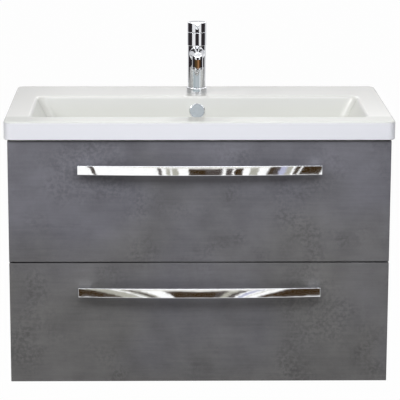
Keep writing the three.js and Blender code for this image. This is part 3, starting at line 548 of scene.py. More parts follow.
@dataclass(frozen=True)
class Chrome(Finish):
    """Polished chrome plating with a faint haze and dried-water marks."""

    slot: str = "chrome"
    bright: Colour = srgb(236, 237, 240)
    hazed: Colour = srgb(226, 228, 232)

    def paint(self) -> bpy.types.Material:
        """Builds a mirror whose haze and waviness change slowly over it.

        Returns:
            The material.
        """
        shader = Shader.material(self.slot)
        haze = shader.noise(38.0, 4, 0.6)
        marks = shader.cells(310.0)
        spots = (Field(shader, marks.outputs["Distance"]) - 0.12).over(0.0, 0.1)
        wave = shader.noise(70.0, 1, 0.3)
        colour = shader.blend(haze, self.bright, self.hazed)
        rough = 0.015 + 0.03 * haze + 0.015 * (1 - spots)
        normal = shader.relief(wave, 0.03, 0.4 * MM)
        return shader.close(colour, rough, normal, Metallic=1.0)


@dataclass(frozen=True)
class ZincPlate(Finish):
    """Zinc-plated sheet steel with soft spangles and rolling lines."""

    slot: str = "plated_steel"
    dull: Colour = srgb(186, 189, 192)
    bright: Colour = srgb(222, 225, 229)

    def paint(self) -> bpy.types.Material:
        """Builds spangles of two greys under fine lines along the sheet.

        Returns:
            The material.
        """
        shader = Shader.material(self.slot)
        cells = shader.cells(140.0)
        tone = shader.node("ShaderNodeSeparateColor", {}, {0: cells.outputs["Color"]})
        spangle = Field(shader, tone.outputs[0])
        lines = shader.noise(1.0, 3, 0.6, shader.mapped((600.0, 24.0, 600.0)))
        colour = shader.blend(0.65 * spangle + 0.35 * lines, self.dull, self.bright)
        rough = 0.27 + 0.16 * spangle + 0.08 * lines
        normal = shader.relief(lines, 0.1, 0.05 * MM)
        return shader.close(colour, rough, normal, Metallic=1.0)


@dataclass(frozen=True)
class Brass(Finish):
    """Machined brass with turning marks and a little tarnish."""

    slot: str = "brass"
    fresh: Colour = srgb(214, 190, 128)
    tarnish: Colour = srgb(164, 136, 84)

    def paint(self) -> bpy.types.Material:
        """Builds tarnish patches over rings that the lathe leaves.

        Returns:
            The material.
        """
        shader = Shader.material(self.slot)
        patch = shader.noise(160.0, 4, 0.6)
        rings = (shader.axis(2) * 5200.0).wave()
        colour = shader.blend(patch.over(0.55, 0.3), self.fresh, self.tarnish)
        normal = shader.relief(rings, 0.12, 0.04 * MM)
        return shader.close(colour, 0.22 + 0.25 * patch, normal, Metallic=1.0)


@dataclass(frozen=True)
class Nylon(Finish):
    """Moulded nylon, milky and slightly uneven."""

    slot: str = "nylon"
    thick: Colour = srgb(228, 228, 222)
    thin: Colour = srgb(214, 213, 205)

    def paint(self) -> bpy.types.Material:
        """Builds a milky white with a moulded, faintly pitted skin.

        Returns:
            The material.
        """
        shader = Shader.material(self.slot)
        flow = shader.noise(90.0, 3, 0.5)
        pits = shader.noise(1500.0, 1, 0.5)
        colour = shader.blend(flow, self.thick, self.thin)
        normal = shader.relief(pits, 0.15, 0.06 * MM)
        return shader.close(colour, 0.36 + 0.14 * flow, normal)


@dataclass(frozen=True)
class Rubber(Finish):
    """Black sealing rubber with a dusty bloom."""

    slot: str = "rubber"
    black: Colour = srgb(38, 38, 39)
    bloom: Colour = srgb(66, 66, 68)

    def paint(self) -> bpy.types.Material:
        """Builds a matt black that dust greys in patches.

        Returns:
            The material.
        """
        shader = Shader.material(self.slot)
        dust = shader.noise(220.0, 4, 0.65)
        colour = shader.blend(dust.over(0.55, 0.3), self.black, self.bloom)
        normal = shader.relief(dust, 0.2, 0.1 * MM)
        return shader.close(colour, 0.66 + 0.2 * dust, normal)


# ---------------------------------------------------------------- workshop


def leave_edit_mode() -> None:
    """Goes to object mode with nothing selected."""
    if bpy.context.object and bpy.context.object.mode != "OBJECT":
        bpy.ops.object.mode_set(mode="OBJECT")
    bpy.ops.object.select_all(action="DESELECT")


def is_open(edge: bmesh.types.BMEdge) -> bool:
    """Tells whether an edge has a face on one side only."""
    return edge.is_boundary


def level_with(height: float, slack: float = NEAR) -> Test:
    """Gives a test that passes what lies at a height."""
    return lambda p, n: abs(p.z - height) < slack


class Workpiece:
    """One mesh, shaped with Blender's hand tools from a primitive to a finished piece."""

    def __init__(self, name: str) -> None:
        """Deselects everything, so that the next tools act on this piece alone."""
        self.name = name
        leave_edit_mode()

    @property
    def obj(self) -> bpy.types.Object:
        """The piece's object."""
        return bpy.data.objects[self.name]

    def edit(self) -> None:
        """Opens the newest primitive, or this piece again, in edit mode."""
        if self.name not in bpy.data.objects:
            bpy.context.object.name = self.name
            bpy.context.object.data.name = self.name
            bpy.ops.object.transform_apply(location=True, rotation=True, scale=True)
        if bpy.context.object is None or bpy.context.object.mode != "EDIT":
            self._choose()
            bpy.ops.object.mode_set(mode="EDIT")

    def done(self) -> None:
        """Goes back to object mode and applies the piece's place to its mesh."""
        leave_edit_mode()
        self._choose()
        bpy.ops.object.transform_apply(location=True, rotation=True, scale=True)

    def _choose(self) -> None:
        """Selects this piece alone and makes it the active one."""
        bpy.ops.object.select_all(action="DESELECT")
        self.obj.select_set(True)
        bpy.context.view_layer.objects.active = self.obj

    # -- primitives

    def block(self, low: Vector, high: Vector) -> "Workpiece":
        """Adds a box between two corners and opens it in edit mode.

        Args:
            low: The box's low corner.
            high: Its high corner.

        Returns:
            This piece, in edit mode.
        """
        centre = (low + high) / 2
        bpy.ops.mesh.primitive_cube_add(size=1, location=centre)
        self.edit()
        bpy.ops.transform.resize(value=high - low, center_override=centre)
        return self

    def plate(self, low: Vector, high: Vector, radius: float, steps: int, splits: int) -> None:
        """Adds a flat plate with rounded corners at the low corner's height.

        Args:
            low: The plate's low corner.
            high: The plate's high corner, of which Z isn't used.
            radius: The corners' radius.
            steps: Segments of each corner.
            splits: How many points divide each straight side.
        """
        centre = Vector(((low.x + high.x) / 2, (low.y + high.y) / 2, low.z))
        bpy.ops.mesh.primitive_plane_add(size=1, location=centre)
        self.edit()
        size = (high.x - low.x, high.y - low.y, 1)
        bpy.ops.transform.resize(value=size, center_override=centre)
        bpy.ops.mesh.bevel(offset=radius, segments=steps, affect="VERTICES", clamp_overlap=False)
        shortest = min(size[:2]) - 2.2 * radius
        self.pick(
            Pick.EDGES,
            level_with(low.z),
            lambda edge: edge.calc_length() > shortest and self._loose(edge.link_faces[0]),
        )
        bpy.ops.mesh.subdivide(number_cuts=splits)
        self.pick(Pick.FACES, level_with(low.z), self._loose)

    @staticmethod
    def _loose(part: bmesh.types.BMFace) -> bool:
        """Tells whether a face touches no other."""
        return all(len(edge.link_faces) == 1 for edge in part.edges)

    def turn(self, profile: Profile, centre: Vector, sides: int, bored: bool = False) -> "Workpiece":
        """Stacks discs along Z into a turned piece.

        Args:
            profile: Radius and height of each ring, from the first face to the last.
            centre: The axis's place, from which the heights count.
            sides: Points round each ring.
            bored: Whether the first and last rings join into a bore, instead of closing.

        Returns:
            This piece, in edit mode.
        """
        radius, height = profile[0]
        start = centre + Vector((0, 0, height))
        fill = "NOTHING" if bored else "NGON"
        bpy.ops.mesh.primitive_circle_add(vertices=sides, radius=radius, fill_type=fill, location=start)
        self.edit()
        self.rings(profile, centre, bored)
        if bored:
            self.pick(Pick.EDGES, lambda p, n: True, is_open)
            bpy.ops.mesh.bridge_edge_loops()
        return self

    def rings(self, profile: Profile, centre: Vector, edges_only: bool = False) -> None:
        """Draws the selected ring on through the other rings of a profile.

        Args:
            profile: Radius and height of each ring, of which the first is there already.
            centre: The axis's place, from which the heights count.
            edges_only: Whether the ring is an open loop.
        """
        for (radius, height), (next_radius, next_height) in zip(profile, profile[1:]):
            self.extrude((0, 0, next_height - height), edges_only)
            share = next_radius / radius
            if abs(share - 1) > SAME_SIZE:
                middle = centre + Vector((0, 0, next_height))
                bpy.ops.transform.resize(value=(share, share, 1), center_override=middle)

    # -- edit mode tools

    def pick(self, what: Pick, test: Test, keep: Callable[[object], bool] | None = None) -> None:
        """Selects parts of the mesh by their place and normal, and nothing else.

        Args:
            what: Corners, edges or faces.
            test: Takes a part's middle and normal, and says whether it is picked.
            keep: A further test on the part itself.
        """
        bpy.ops.mesh.select_mode(type=what.value)
        mesh = bmesh.from_edit_mesh(self.obj.data)
        mesh.normal_update()
        groups = {Pick.FACES: mesh.faces, Pick.EDGES: mesh.edges, Pick.CORNERS: mesh.verts}
        for group in groups.values():
            for part in group:
                part.select = False
        for part in list(groups[what]):
            if what is Pick.CORNERS:
                middle, normal = part.co, part.normal
            elif what is Pick.EDGES:
                middle = (part.verts[0].co + part.verts[1].co) / 2
                normal = sum((face.normal for face in part.link_faces), Vector())
            else:
                middle, normal = part.calc_center_median(), part.normal
            if test(middle, normal) and (keep is None or keep(part)):
                part.select_set(True)
        bmesh.update_edit_mesh(self.obj.data)

    def sharp_edges(self, test: Test, angle: float = 50.0) -> None:
        """Selects the edges that pass a test and whose faces meet at more than an angle in degrees."""
        least = math.radians(angle)
        self.pick(Pick.EDGES, test, lambda edge: edge.calc_face_angle(0.0) > least)

    def extrude(self, move: Sequence[float], edges_only: bool = False) -> None:
        """Extrudes what is selected by a move.

        Args:
            move: How far and which way.
            edges_only: Whether an open loop is drawn out, and not faces.
        """
        shift = {"value": tuple(move)}
        if edges_only:
            bpy.ops.mesh.extrude_edges_move(TRANSFORM_OT_translate=shift)
        else:
            bpy.ops.mesh.extrude_region_move(TRANSFORM_OT_translate=shift)

    def bevel(self, width: float, steps: int) -> None:
        """Rounds the selected edges."""
        bpy.ops.mesh.bevel(offset=width, segments=steps, affect="EDGES", clamp_overlap=False)

    def slice(self, point: Vector, normal: Vector, drop: bool = False) -> None:
        """Cuts the whole mesh by a plane, and may drop and close what lies ahead of it.

        Args:
            point: A point of the plane.
            normal: The plane's normal.
            drop: Whether the part ahead of the plane goes.
        """
        bpy.ops.mesh.select_all(action="SELECT")
        bpy.ops.mesh.bisect(
            plane_co=point, plane_no=normal, use_fill=drop, clear_outer=drop, clear_inner=False
        )

    def bridge(self, *heights: float) -> None:
        """Joins the two open loops that lie at one height, or at two.

        Args:
            heights: Where the loops lie.
        """
        tests = [level_with(height, LOOP_SLACK) for height in heights]
        self.pick(Pick.EDGES, lambda p, n: any(test(p, n) for test in tests), is_open)
        bpy.ops.mesh.bridge_edge_loops()

    def fill(self, height: float) -> None:
        """Closes the flat ring between the open loops that lie at one height."""
        self.pick(Pick.EDGES, level_with(height, LOOP_SLACK), is_open)
        bpy.ops.mesh.fill(use_beauty=True)

    # -- object mode tools

    def apply(self, kind: str, **settings: object) -> None:
        """Adds a modifier, sets it and applies it.

        Args:
            kind: The modifier's type name.
            settings: Its properties.
        """
        self.done()
        modifier = self.obj.modifiers.new(kind.title(), kind)
        for key, value in settings.items():
            setattr(modifier, key, value)
        bpy.ops.object.modifier_apply(modifier=modifier.name)

    def combine(self, how: Join, *others: "Workpiece") -> None:
        """Cuts this piece with others or joins them to it, and uses them up.

        Args:
            how: Whether to cut or to add.
            others: The pieces that are used up.
        """
        for piece in (*others, self):
            piece.tidy()
        for other in others:
            self.apply("BOOLEAN", operation=how.value, solver="EXACT", object=other.obj)
            bpy.data.objects.remove(other.obj, do_unlink=True)

    def tidy(self) -> None:
        """Merges doubles and turns every face outwards."""
        self.edit()
        bpy.ops.mesh.select_all(action="SELECT")
        bpy.ops.mesh.remove_doubles(threshold=MERGE)
        bpy.ops.mesh.normals_make_consistent(inside=False)
        self.done()

    def lay(self, matrix: Matrix) -> "Workpiece":
        """Turns and moves the whole piece, and applies that to its mesh.

        Args:
            matrix: The move.

        Returns:
            This piece, in object mode.
        """
        self.done()
        self.obj.data.transform(matrix)
        return self

    def finish(self, angle: float = 32.0) -> bpy.types.Object:
        """Shades the piece smooth up to an angle in degrees, with normals weighted by area.

        Args:
            angle: Faces that meet at less than this are shaded smooth.

        Returns:
            The finished object.
        """
        self.tidy()
        bpy.ops.object.shade_smooth_by_angle(angle=math.radians(angle))
        self.apply("WEIGHTED_NORMAL", keep_sharp=True, weight=60)
        return self.obj


def arc(radius: float, steps: int, start: float = 0.0, end: float = 90.0) -> Iterable[tuple[float, float]]:
    """Gives the cosine and sine parts of points along an arc.

    Args:
        radius: The arc's radius.
        steps: How many segments it has.
        start: Its first angle in degrees.
        end: Its last angle in degrees.

    Returns:
        The points, from the first angle to the last.
    """
    for i in range(steps + 1):
        angle = math.radians(start + (end - start) * i / steps)
        yield radius * math.cos(angle), radius * math.sin(angle)


def outline(radius: float, height: float, *steps: tuple[float, float]) -> list[tuple[float, float]]:
    """Gives the points of a profile that lie some millimetres off one radius and height.

    Args:
        radius: The radius that the steps start from.
        height: The height that the steps start from.
        steps: How far out and up each point lies, in millimetres.

    Returns:
        Radius and height of each point.
    """
    return [(radius + out * MM, height + up * MM) for out, up in steps]


def rounded(radius: float, top: float, ease: float) -> list[tuple[float, float]]:
    """Gives the points of a quarter circle that eases a turned piece's upper edge."""
    return [(radius - ease + out, top - ease + up) for out, up in arc(ease, 6)]


class RoundNode:
    """Where a round, upright CAD node stands and how wide it is."""

    def __init__(self, node: str) -> None:
        """Reads the node's box.

        Args:
            node: The CAD node's name.
        """
        low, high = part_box(node)
        self.low, self.high = low.z, high.z
        self.wide = (high.x - low.x) / 2
        self.axis = Vector((0, (low.y + high.y) / 2, 0))


def tipped(place: Vector, rise: float) -> Matrix:
    """Gives the move that lays an upright piece forward at a place, tipped up by an angle."""
    return Matrix.Translation(place) @ Matrix.Rotation(math.radians(90) - rise, 4, "X")


def report(obj: bpy.types.Object) -> None:
    """Logs a piece's name and how many faces it has."""
    log.info("%s: %d faces", obj.name, len(obj.data.polygons))


# ---------------------------------------------------------------- washbasin


@dataclass
class Washbasin:
    """The ceramic top: a slab with an apron, a drafted bowl, an overflow duct and a drain boss."""

    corner: float = 18 * MM
    edge: float = 4 * MM
    foot: float = 2 * MM
    skirt: float = 14 * MM
    wall: float = 12 * MM
    apron: float = 39 * MM
    side_ledge: float = 52.5 * MM
    front_ledge: float = 61 * MM
    rear_ledge: float = 142 * MM
    bowl_corner: float = 20 * MM
    bowl_rim: float = 6 * MM
    bowl_fillet: float = 26 * MM
    bowl_depth: float = 96 * MM
    bowl_fall: float = 9 * MM
    side_draft: float = 0.5
    wall_draft: float = 0.07
    drain: float = 23 * MM
    boss: float = 37 * MM
    seat: float = 32.5 * MM
    tap_hole: float = 17.5 * MM
    overflow_hole: float = 12 * MM
    overflow_drop: float = 33 * MM
    duct: tuple[float, float] = (42 * MM, 14 * MM)
    duct_headroom: float = 6 * MM
    corner_steps: int = 10
    side_splits: int = 7

    def __post_init__(self) -> None:
        """Reads the basin's place from the frame."""
        self.low, self.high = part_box("washbasin")
        self.rim = self.high.z
        self.drain_y = RoundNode("waste_plug").axis.y
        self.tap_y = RoundNode("tap_base").axis.y
        self.loop = 4 * (self.corner_steps + 1 + self.side_splits)

    def _bowl(self, piece: Workpiece, top: float, grow: float) -> float:
        """Draws one skin of the bowl downwards from a height.

        Args:
            piece: The basin in edit mode.
            top: The height of the skin's upper loop.
            grow: How far the skin lies outside the bowl's own surface.

        Returns:
            The height of the skin's lower loop.
        """
        drop = self.rim - top
        low = Vector((self.low.x + self.side_ledge, self.low.y + self.front_ledge, top))
        high = Vector((self.high.x - self.side_ledge, self.high.y - self.rear_ledge, top))
        draft = Vector((self.side_draft, self.wall_draft, 0))
        spread = Vector((grow, grow, 0)) - draft * drop
        start, end = low - spread, high + spread
        piece.plate(start, end, self.bowl_corner + grow, self.corner_steps, self.side_splits)
        centre, size, height = (start + end) / 2, end - start, top
        fillet = self.bowl_fillet + grow
        straight = self.bowl_depth - self.bowl_fillet - drop
        foot = self.rim - self.bowl_depth + self.bowl_fillet
        steps = [(straight * share, draft * (straight * share)) for share in (0.33, 0.66, 1.0)]
        for inset, depth in list(arc(fillet, 7))[1:]:
            gone = draft * straight + Vector((1, 1, 0)) * (fillet - inset)
            steps.append((top - foot + depth, gone))
        width = size.copy()
        for depth, gone in steps:
            wanted = size - 2 * gone
            share = (wanted.x / width.x, wanted.y / width.y, 1)
            piece.extrude((0, 0, top - depth - height))
            height = top - depth
            bpy.ops.transform.resize(value=share, center_override=(centre.x, centre.y, height))
            width = wanted
        bpy.ops.mesh.delete(type="ONLY_FACE")
        self._open(piece, top)
        return height

    @staticmethod
    def _open(piece: Workpiece, height: float) -> None:
        """Deletes the flat faces at a height."""
        piece.pick(Pick.FACES, lambda p, n: abs(p.z - height) < NEAR and abs(n.z) > 0.9)
        bpy.ops.mesh.delete(type="ONLY_FACE")

    def _slab(self, piece: Workpiece) -> None:
        """Makes the outside: foot, apron and rounded top edge, open above and below.

        Args:
            piece: The basin.
        """
        foot = self.rim - self.apron
        low = Vector((self.low.x, self.low.y, foot))
        piece.plate(low, self.high, self.corner, self.corner_steps, self.side_splits)
        piece.extrude((0, 0, self.apron))
        for height, width, steps in ((self.rim, self.edge, 5), (foot, self.foot, 3)):
            piece.sharp_edges(level_with(height))
            piece.bevel(width, steps)
        self._open(piece, self.rim)
        self._open(piece, foot)

    def _hollow(self, piece: Workpiece) -> None:
        """Draws the skirt's inside inwards and upwards from the open foot, up to the deck's underside.

        Args:
            piece: The basin in edit mode.
        """
        foot = self.rim - self.apron
        piece.pick(Pick.EDGES, level_with(foot), is_open)
        size = self.high - self.low
        share = [(side - 2 * self.skirt) / (side - 2 * self.foot) for side in size.xy]
        piece.extrude((0, 0, 0), edges_only=True)
        middle = (self.low + self.high) / 2
        bpy.ops.transform.resize(value=(*share, 1), center_override=(middle.x, middle.y, foot))
        piece.extrude((0, 0, self.apron - self.wall), edges_only=True)

    def _drain(self, piece: Workpiece, bowl_foot: float, shell_foot: float) -> None:
        """Joins the bowl's two skins through the drain's seat, bore and boss.

        Args:
            piece: The basin in edit mode.
            bowl_foot: The height of the bowl's lower loop.
            shell_foot: The height of the outer skin's lower loop.
        """
        seat = self.rim - self.bowl_depth - self.bowl_fall
        boss_top = seat - self.wall
        bpy.ops.mesh.primitive_circle_add(
            vertices=self.loop, radius=self.seat, fill_type="NOTHING", location=(0, self.drain_y, seat)
        )
        piece.edit()
        bore = [(self.seat, seat), (self.drain, seat), (self.drain, self.low.z)]
        boss = [(self.boss, self.low.z), (self.boss, boss_top)]
        piece.rings(bore + boss, Vector((0, self.drain_y, 0)), edges_only=True)
        piece.bridge(bowl_foot, seat)
        piece.bridge(shell_foot, boss_top)

    def _duct(self) -> Workpiece:
        """Makes the overflow duct: down behind the bowl, then forward under its floor.

        Returns:
            The duct's outside, in edit mode.
        """
        width, thick = self.duct
        rear = -self.rear_ledge + self.wall + thick
        top = self.rim - self.overflow_drop + self.overflow_hole + self.duct_headroom
        floor = self.rim - self.bowl_depth - self.bowl_fall - self.wall - thick
        low = Vector((-width / 2, rear - thick - self.wall / 2, floor))
        piece = Workpiece("overflow_duct").block(low, Vector((width / 2, rear, top)))
        piece.slice(Vector((0, 0, floor + thick)), Vector((0, 0, 1)))
        piece.pick(Pick.FACES, lambda p, n: n.y < -0.9 and p.z < floor + thick)
        piece.extrude((0, self.drain_y - low.y, 0))
        piece.sharp_edges(lambda p, n: abs(p.z - floor) < NEAR and abs(p.y - rear) < NEAR)
        piece.bevel(self.bowl_fillet, 6)
        return piece

    def _bore(self, radius: float, length: float, matrix: Matrix, name: str) -> Workpiece:
        """Makes a cutter for a round hole, centred on its own middle before it is laid."""
        profile = [(radius, -length / 2), (radius, 0), (radius, length / 2)]
        return Workpiece(name).turn(profile, Vector(), 64).lay(matrix)

    def build(self) -> bpy.types.Object:
        """Models the whole basin.

        Returns:
            The finished piece.
        """
        piece = Workpiece("basin")
        self._slab(piece)
        self._hollow(piece)
        bowl_foot = self._bowl(piece, self.rim, 0.0)
        ceiling = self.rim - self.wall
        shell_foot = self._bowl(piece, ceiling, self.wall)
        self._drain(piece, bowl_foot, shell_foot)
        piece.bridge(self.rim)
        piece.fill(ceiling)
        piece.tidy()
        piece.edit()
        inner = self.low.y + self.front_ledge / 2
        within = self.high.x - self.side_ledge / 2
        piece.sharp_edges(
            lambda p, n: abs(p.z - self.rim) < NEAR and p.y > inner and abs(p.x) < within
        )
        piece.bevel(self.bowl_rim, 6)
        tap = Matrix.Translation((0, self.tap_y, self.rim))
        wall_y = -self.rear_ledge - self.wall_draft * self.overflow_drop
        overflow = tipped(Vector((0, wall_y, self.rim - self.overflow_drop)), math.atan(self.wall_draft))
        piece.combine(Join.ADD, self._duct())
        piece.combine(
            Join.CUT,
            self._bore(self.tap_hole, 3 * self.wall, tap, "tap_bore"),
            self._bore(self.overflow_hole, 2.6 * self.wall, overflow, "overflow_bore"),
        )
        made = piece.finish(28)
        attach(made, "cabinet")
        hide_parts("washbasin")
        GlazedCeramic().dress(made)
        report(made)
        return made


# ---------------------------------------------------------------- waste and overflow


@dataclass
class WasteFittings:
    """The chrome that shows in the bowl: the push plug, the waste's flange and the overflow's cap."""

    sides: int = 72
    stem: float = 4 * MM
    spigot_gap: float = 1 * MM
    bore: float = 18 * MM
    plug_cap: float = 5.2 * MM
    groove: float = 0.3 * MM
    cap_dome: float = 4.0 * MM
    cap_spigot: float = 11 * MM
    cap_reach: float = 8 * MM
    lean: float = math.atan(0.07)

    def _plug(self) -> bpy.types.Object:
        """Turns the plug: stem, cone, spigot and a softly crowned cap with a sunk ring.

        Returns:
            The finished piece.
        """
        node = RoundNode("waste_plug")
        rim, top, stem, thick = node.wide, node.high, self.stem, self.plug_cap
        seat = top - thick
        spigot = self.bore - self.spigot_gap
        ring = seat + 0.83 * thick
        profile = [
            *outline(stem, node.low, (-0.5, 0), (0, 0.5)),
            (stem, seat - 6 * MM),
            (2 * stem, seat - 2 * MM),
            *outline(spigot, seat, (0, -2), (0, 0)),
            *outline(rim, seat, (-1, 0), (-0.25, 0.3), (0, 1), (-0.3, 1.9), (-1, 2.6)),
            (0.8 * rim, seat + 0.68 * thick),
            (0.62 * rim, ring),
            (0.6 * rim, ring - self.groove),
            (0.57 * rim, ring - self.groove),
            (0.55 * rim, seat + 0.88 * thick),
            (0.3 * rim, seat + 0.97 * thick),
            (0.08 * rim, top),
        ]
        return Workpiece("plug").turn(profile, node.axis, self.sides).finish(24)

    def _cap(self) -> bpy.types.Object:
        """Turns the overflow's cap, with a dished ring round its knob, and leans it on the wall.

        Returns:
            The finished piece.
        """
        low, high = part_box("overflow_cap")
        rim, dome = (high.x - low.x) / 2, self.cap_dome
        profile = [
            (self.cap_spigot, -self.cap_reach),
            (self.cap_spigot, 0.3 * MM),
            *outline(rim, 0, (-0.4, 0.3), (0, 0.8), (0, 2.2), (-0.3, 2.9), (-1, 3.6)),
            *outline(rim, dome, (-2, 0), (-2.3, -0.5), (-3, -0.5), (-3.3, 0)),
            (0.5 * rim, dome + 0.05 * MM),
            (0.18 * rim, dome + 0.1 * MM),
        ]
        piece = Workpiece("overflow_knob").turn(profile, Vector(), self.sides)
        wall_y = high.y - self.cap_reach * math.cos(self.lean)
        middle = Vector((0, wall_y, (low.z + high.z) / 2))
        return piece.lay(tipped(middle, self.lean)).finish(24)

    def build(self) -> None:
        """Models, places and dresses the fittings."""
        plug = self._plug()
        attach(plug, "waste_plug")
        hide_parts("waste_plug")
        cap = self._cap()
        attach(cap, "cabinet")
        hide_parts("overflow_cap")
        Chrome().dress(plug, cap)
        report(plug)
        report(cap)


# ---------------------------------------------------------------- mixer tap


@dataclass
class MixerTap:
    """A round pillar mixer: base ring, column with a tapering spout, aerator, collar and pin lever."""

    sides: int = 80
    nozzle_sides: int = 64
    column: float = 20 * MM
    spout_reach: float = 110 * MM
    spout_root: tuple[float, float] = (18 * MM, 16 * MM)
    spout_tip: float = 12 * MM
    spout_steps: int = 14
    nozzle_drop: float = 72 * MM
    spout_top: float = 105 * MM
    base_bore: float = 5.3 * MM
    base_spigot: float = 16.5 * MM
    shoulder: float = 2.6 * MM
    head_round: float = 1.8 * MM
    seat_gap: float = 0.3 * MM
    play: float = 0.5 * MM
    waist: float = 0.15
    pin: float = 4 * MM
    pin_tip: float = 1.4 * MM
    pin_root: tuple[float, float] = (1.5 * MM, 9.9 * MM)
    pin_length: float = 62 * MM
    pin_rise: float = math.radians(15)
    lift: float = math.radians(20)
    grid: float = 1.0 * MM
    melt: float = 4 * MM

    def __post_init__(self) -> None:
        """Reads the tap's axis and heights from the frame."""
        self.foot = RoundNode("tap_base")
        self.axis = self.foot.axis
        self.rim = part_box("washbasin")[1].z
        self.dome = RoundNode("tap_cartridge_dome")
        self.socket = self.dome.wide + self.play

    def _base(self) -> bpy.types.Object:
        """Turns the base ring, with a shadow groove under it and a bevelled shoulder.

        Returns:
            The finished piece.
        """
        rim, top, wide = self.rim + self.seat_gap, self.foot.high, self.foot.wide
        profile = [
            (self.base_bore, self.foot.low),
            (self.base_spigot, self.foot.low),
            (self.base_spigot, rim),
            *outline(wide, rim, (-0.8, 0), (-0.8, 0.9), (-0.2, 1.1), (0, 1.4)),
            (wide, top - self.shoulder),
            *rounded(wide, top, self.shoulder),
            (self.base_bore, top),
        ]
        return Workpiece("tap_foot").turn(profile, self.axis, self.sides, bored=True).finish(30)

    def _spout(self) -> Workpiece:
        """Draws the spout forward from the column's axis to a round nose.

        Returns:
            The spout, in edit mode.
        """
        half_width, half_height = self.spout_root
        top, tip = self.rim + self.spout_top, self.spout_tip
        start = Vector((0, self.axis.y, top - half_height))
        piece = Workpiece("spout")
        bpy.ops.mesh.primitive_circle_add(
            vertices=self.nozzle_sides,
            radius=1,
            fill_type="NGON",
            location=start,
            rotation=(math.radians(90), 0, 0),
        )
        piece.edit()
        bpy.ops.transform.resize(value=(half_width, 1, half_height), center_override=start)
        straight = self.spout_reach - tip
        stations = []
        for i in range(1, self.spout_steps + 1):
            share = i / self.spout_steps
            ease = 1 - (1 - share) ** 2
            wide = half_width + (tip - half_width) * ease
            tall = half_height + (tip - half_height) * ease
            stations.append((share * straight, wide, tall, top - tall))
        for across, along in list(arc(tip, 8, 0, 84))[1:]:
            stations.append((straight + along, across, across, top - tip))
        at, wide, tall = start, half_width, half_height
        for reach, next_wide, next_tall, height in stations:
            spot = Vector((0, self.axis.y - reach, height))
            piece.extrude(spot - at)
            scale = (next_wide / wide, 1, next_tall / tall)
            bpy.ops.transform.resize(value=scale, center_override=spot)
            at, wide, tall = spot, next_wide, next_tall
        return piece

    def _body(self) -> bpy.types.Object:
        """Joins column, spout and nozzle, melts their seams and trims the three ends crisp.

        Returns:
            The finished piece.
        """
        low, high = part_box("tap_body")
        spare = self.melt
        column = Workpiece("tap_column").turn(
            [(self.column, z) for z in (low.z - spare, self.waist, high.z + spare)],
            self.axis,
            self.sides,
        )
        nozzle_axis = self.axis - Vector((0, self.spout_reach - self.spout_tip, 0))
        nozzle_low = self.rim + self.nozzle_drop
        inner = self.rim + self.spout_top - self.spout_tip
        nozzle = Workpiece("nozzle").turn(
            [(self.spout_tip, z) for z in (nozzle_low - spare, inner - 5 * MM, inner)],
            nozzle_axis,
            self.nozzle_sides,
        )
        column.combine(Join.ADD, self._spout(), nozzle)
        column.apply("REMESH", mode="VOXEL", voxel_size=self.grid, adaptivity=0.0)
        column.apply("SMOOTH", factor=0.5, iterations=14)
        wide = 2 * self.column
        trims = [
            (self.axis + Vector((0, 0, high.z)), Vector((0, 0, 1))),
            (self.axis + Vector((0, 0, low.z)), Vector((0, 0, -1))),
            (nozzle_axis + Vector((0, 0, nozzle_low)), Vector((0, 0, -1))),
        ]
        for i, (spot, way) in enumerate(trims):
            reach = Vector((wide, wide, 0)) * (1 if i < 2 else 0.5)
            block = Workpiece(f"trim_{i}").block(spot - reach, spot + reach + way * wide)
            column.combine(Join.CUT, block)
        return column.finish(38)

    def _aerator(self) -> bpy.types.Object:
        """Turns the aerator: a ring with a fine groove and a sunk screen.

        Returns:
            The finished piece.
        """
        node = RoundNode("tap_aerator")
        top = self.rim + self.nozzle_drop - self.seat_gap
        lip = ((-3.2, 1.2), (-2.4, 0), (-0.8, 0), (-0.2, 0.25), (0, 0.8), (0, 2.2))
        groove = ((-0.4, 2.4), (-0.4, 2.9), (0, 3.1))
        profile = [
            *outline(0, node.low, (1.6, 1.6)),
            *outline(node.wide, node.low, *lip, *groove),
            *outline(node.wide, top, (0, -0.6), (-0.6, 0), (-2.6, 0)),
            *outline(node.wide, node.high, (-2.6, 0)),
        ]
        return Workpiece("aerator").turn(profile, node.axis, self.nozzle_sides).finish(30)

    def _collar(self) -> bpy.types.Object:
        """Turns the collar above the column, with a bevelled foot and an open socket.

        Returns:
            The finished piece.
        """
        node = RoundNode("tap_collar")
        profile = [
            *outline(node.wide, node.low, (-1.4, 0), (-0.5, 0.4), (0, 1.4)),
            *outline(node.wide, node.high, (0, -0.7), (-0.2, -0.2), (-0.7, 0)),
            (self.socket, node.high),
            (self.socket, self.dome.low - self.seat_gap),
        ]
        return Workpiece("collar").turn(profile, self.axis, self.sides).finish(30)

    def _head(self) -> bpy.types.Object:
        """Turns the lever's head, relieves its underside behind the pivot and hollows it.

        Returns:
            The finished piece.
        """
        node = RoundNode("tap_lever_head")
        wide, top = node.wide, node.high
        profile = [
            *outline(wide, node.low, (-0.7, 0), (-0.2, 0.2), (0, 0.7)),
            *outline(wide, top, (0, -2.2)),
            *rounded(wide, top - 0.4 * MM, self.head_round),
            (0.5 * wide, top - 0.1 * MM),
            (0.1 * wide, top),
        ]
        head = Workpiece("lever_head").turn(profile, self.axis, self.sides)
        behind = Vector((0, math.sin(self.lift), -math.cos(self.lift)))
        head.slice(self.axis + Vector((0, 0, node.low + 0.01 * MM)), behind, drop=True)
        pivot = self.dome.high - self.dome.wide
        ball = [(max(x, 0.2 * MM), pivot + z) for x, z in arc(self.socket, 12)]
        hollow = Workpiece("head_socket").turn([(self.socket, pivot - 9 * MM), *ball], self.axis, 48)
        head.combine(Join.CUT, hollow)
        return head.finish(34)

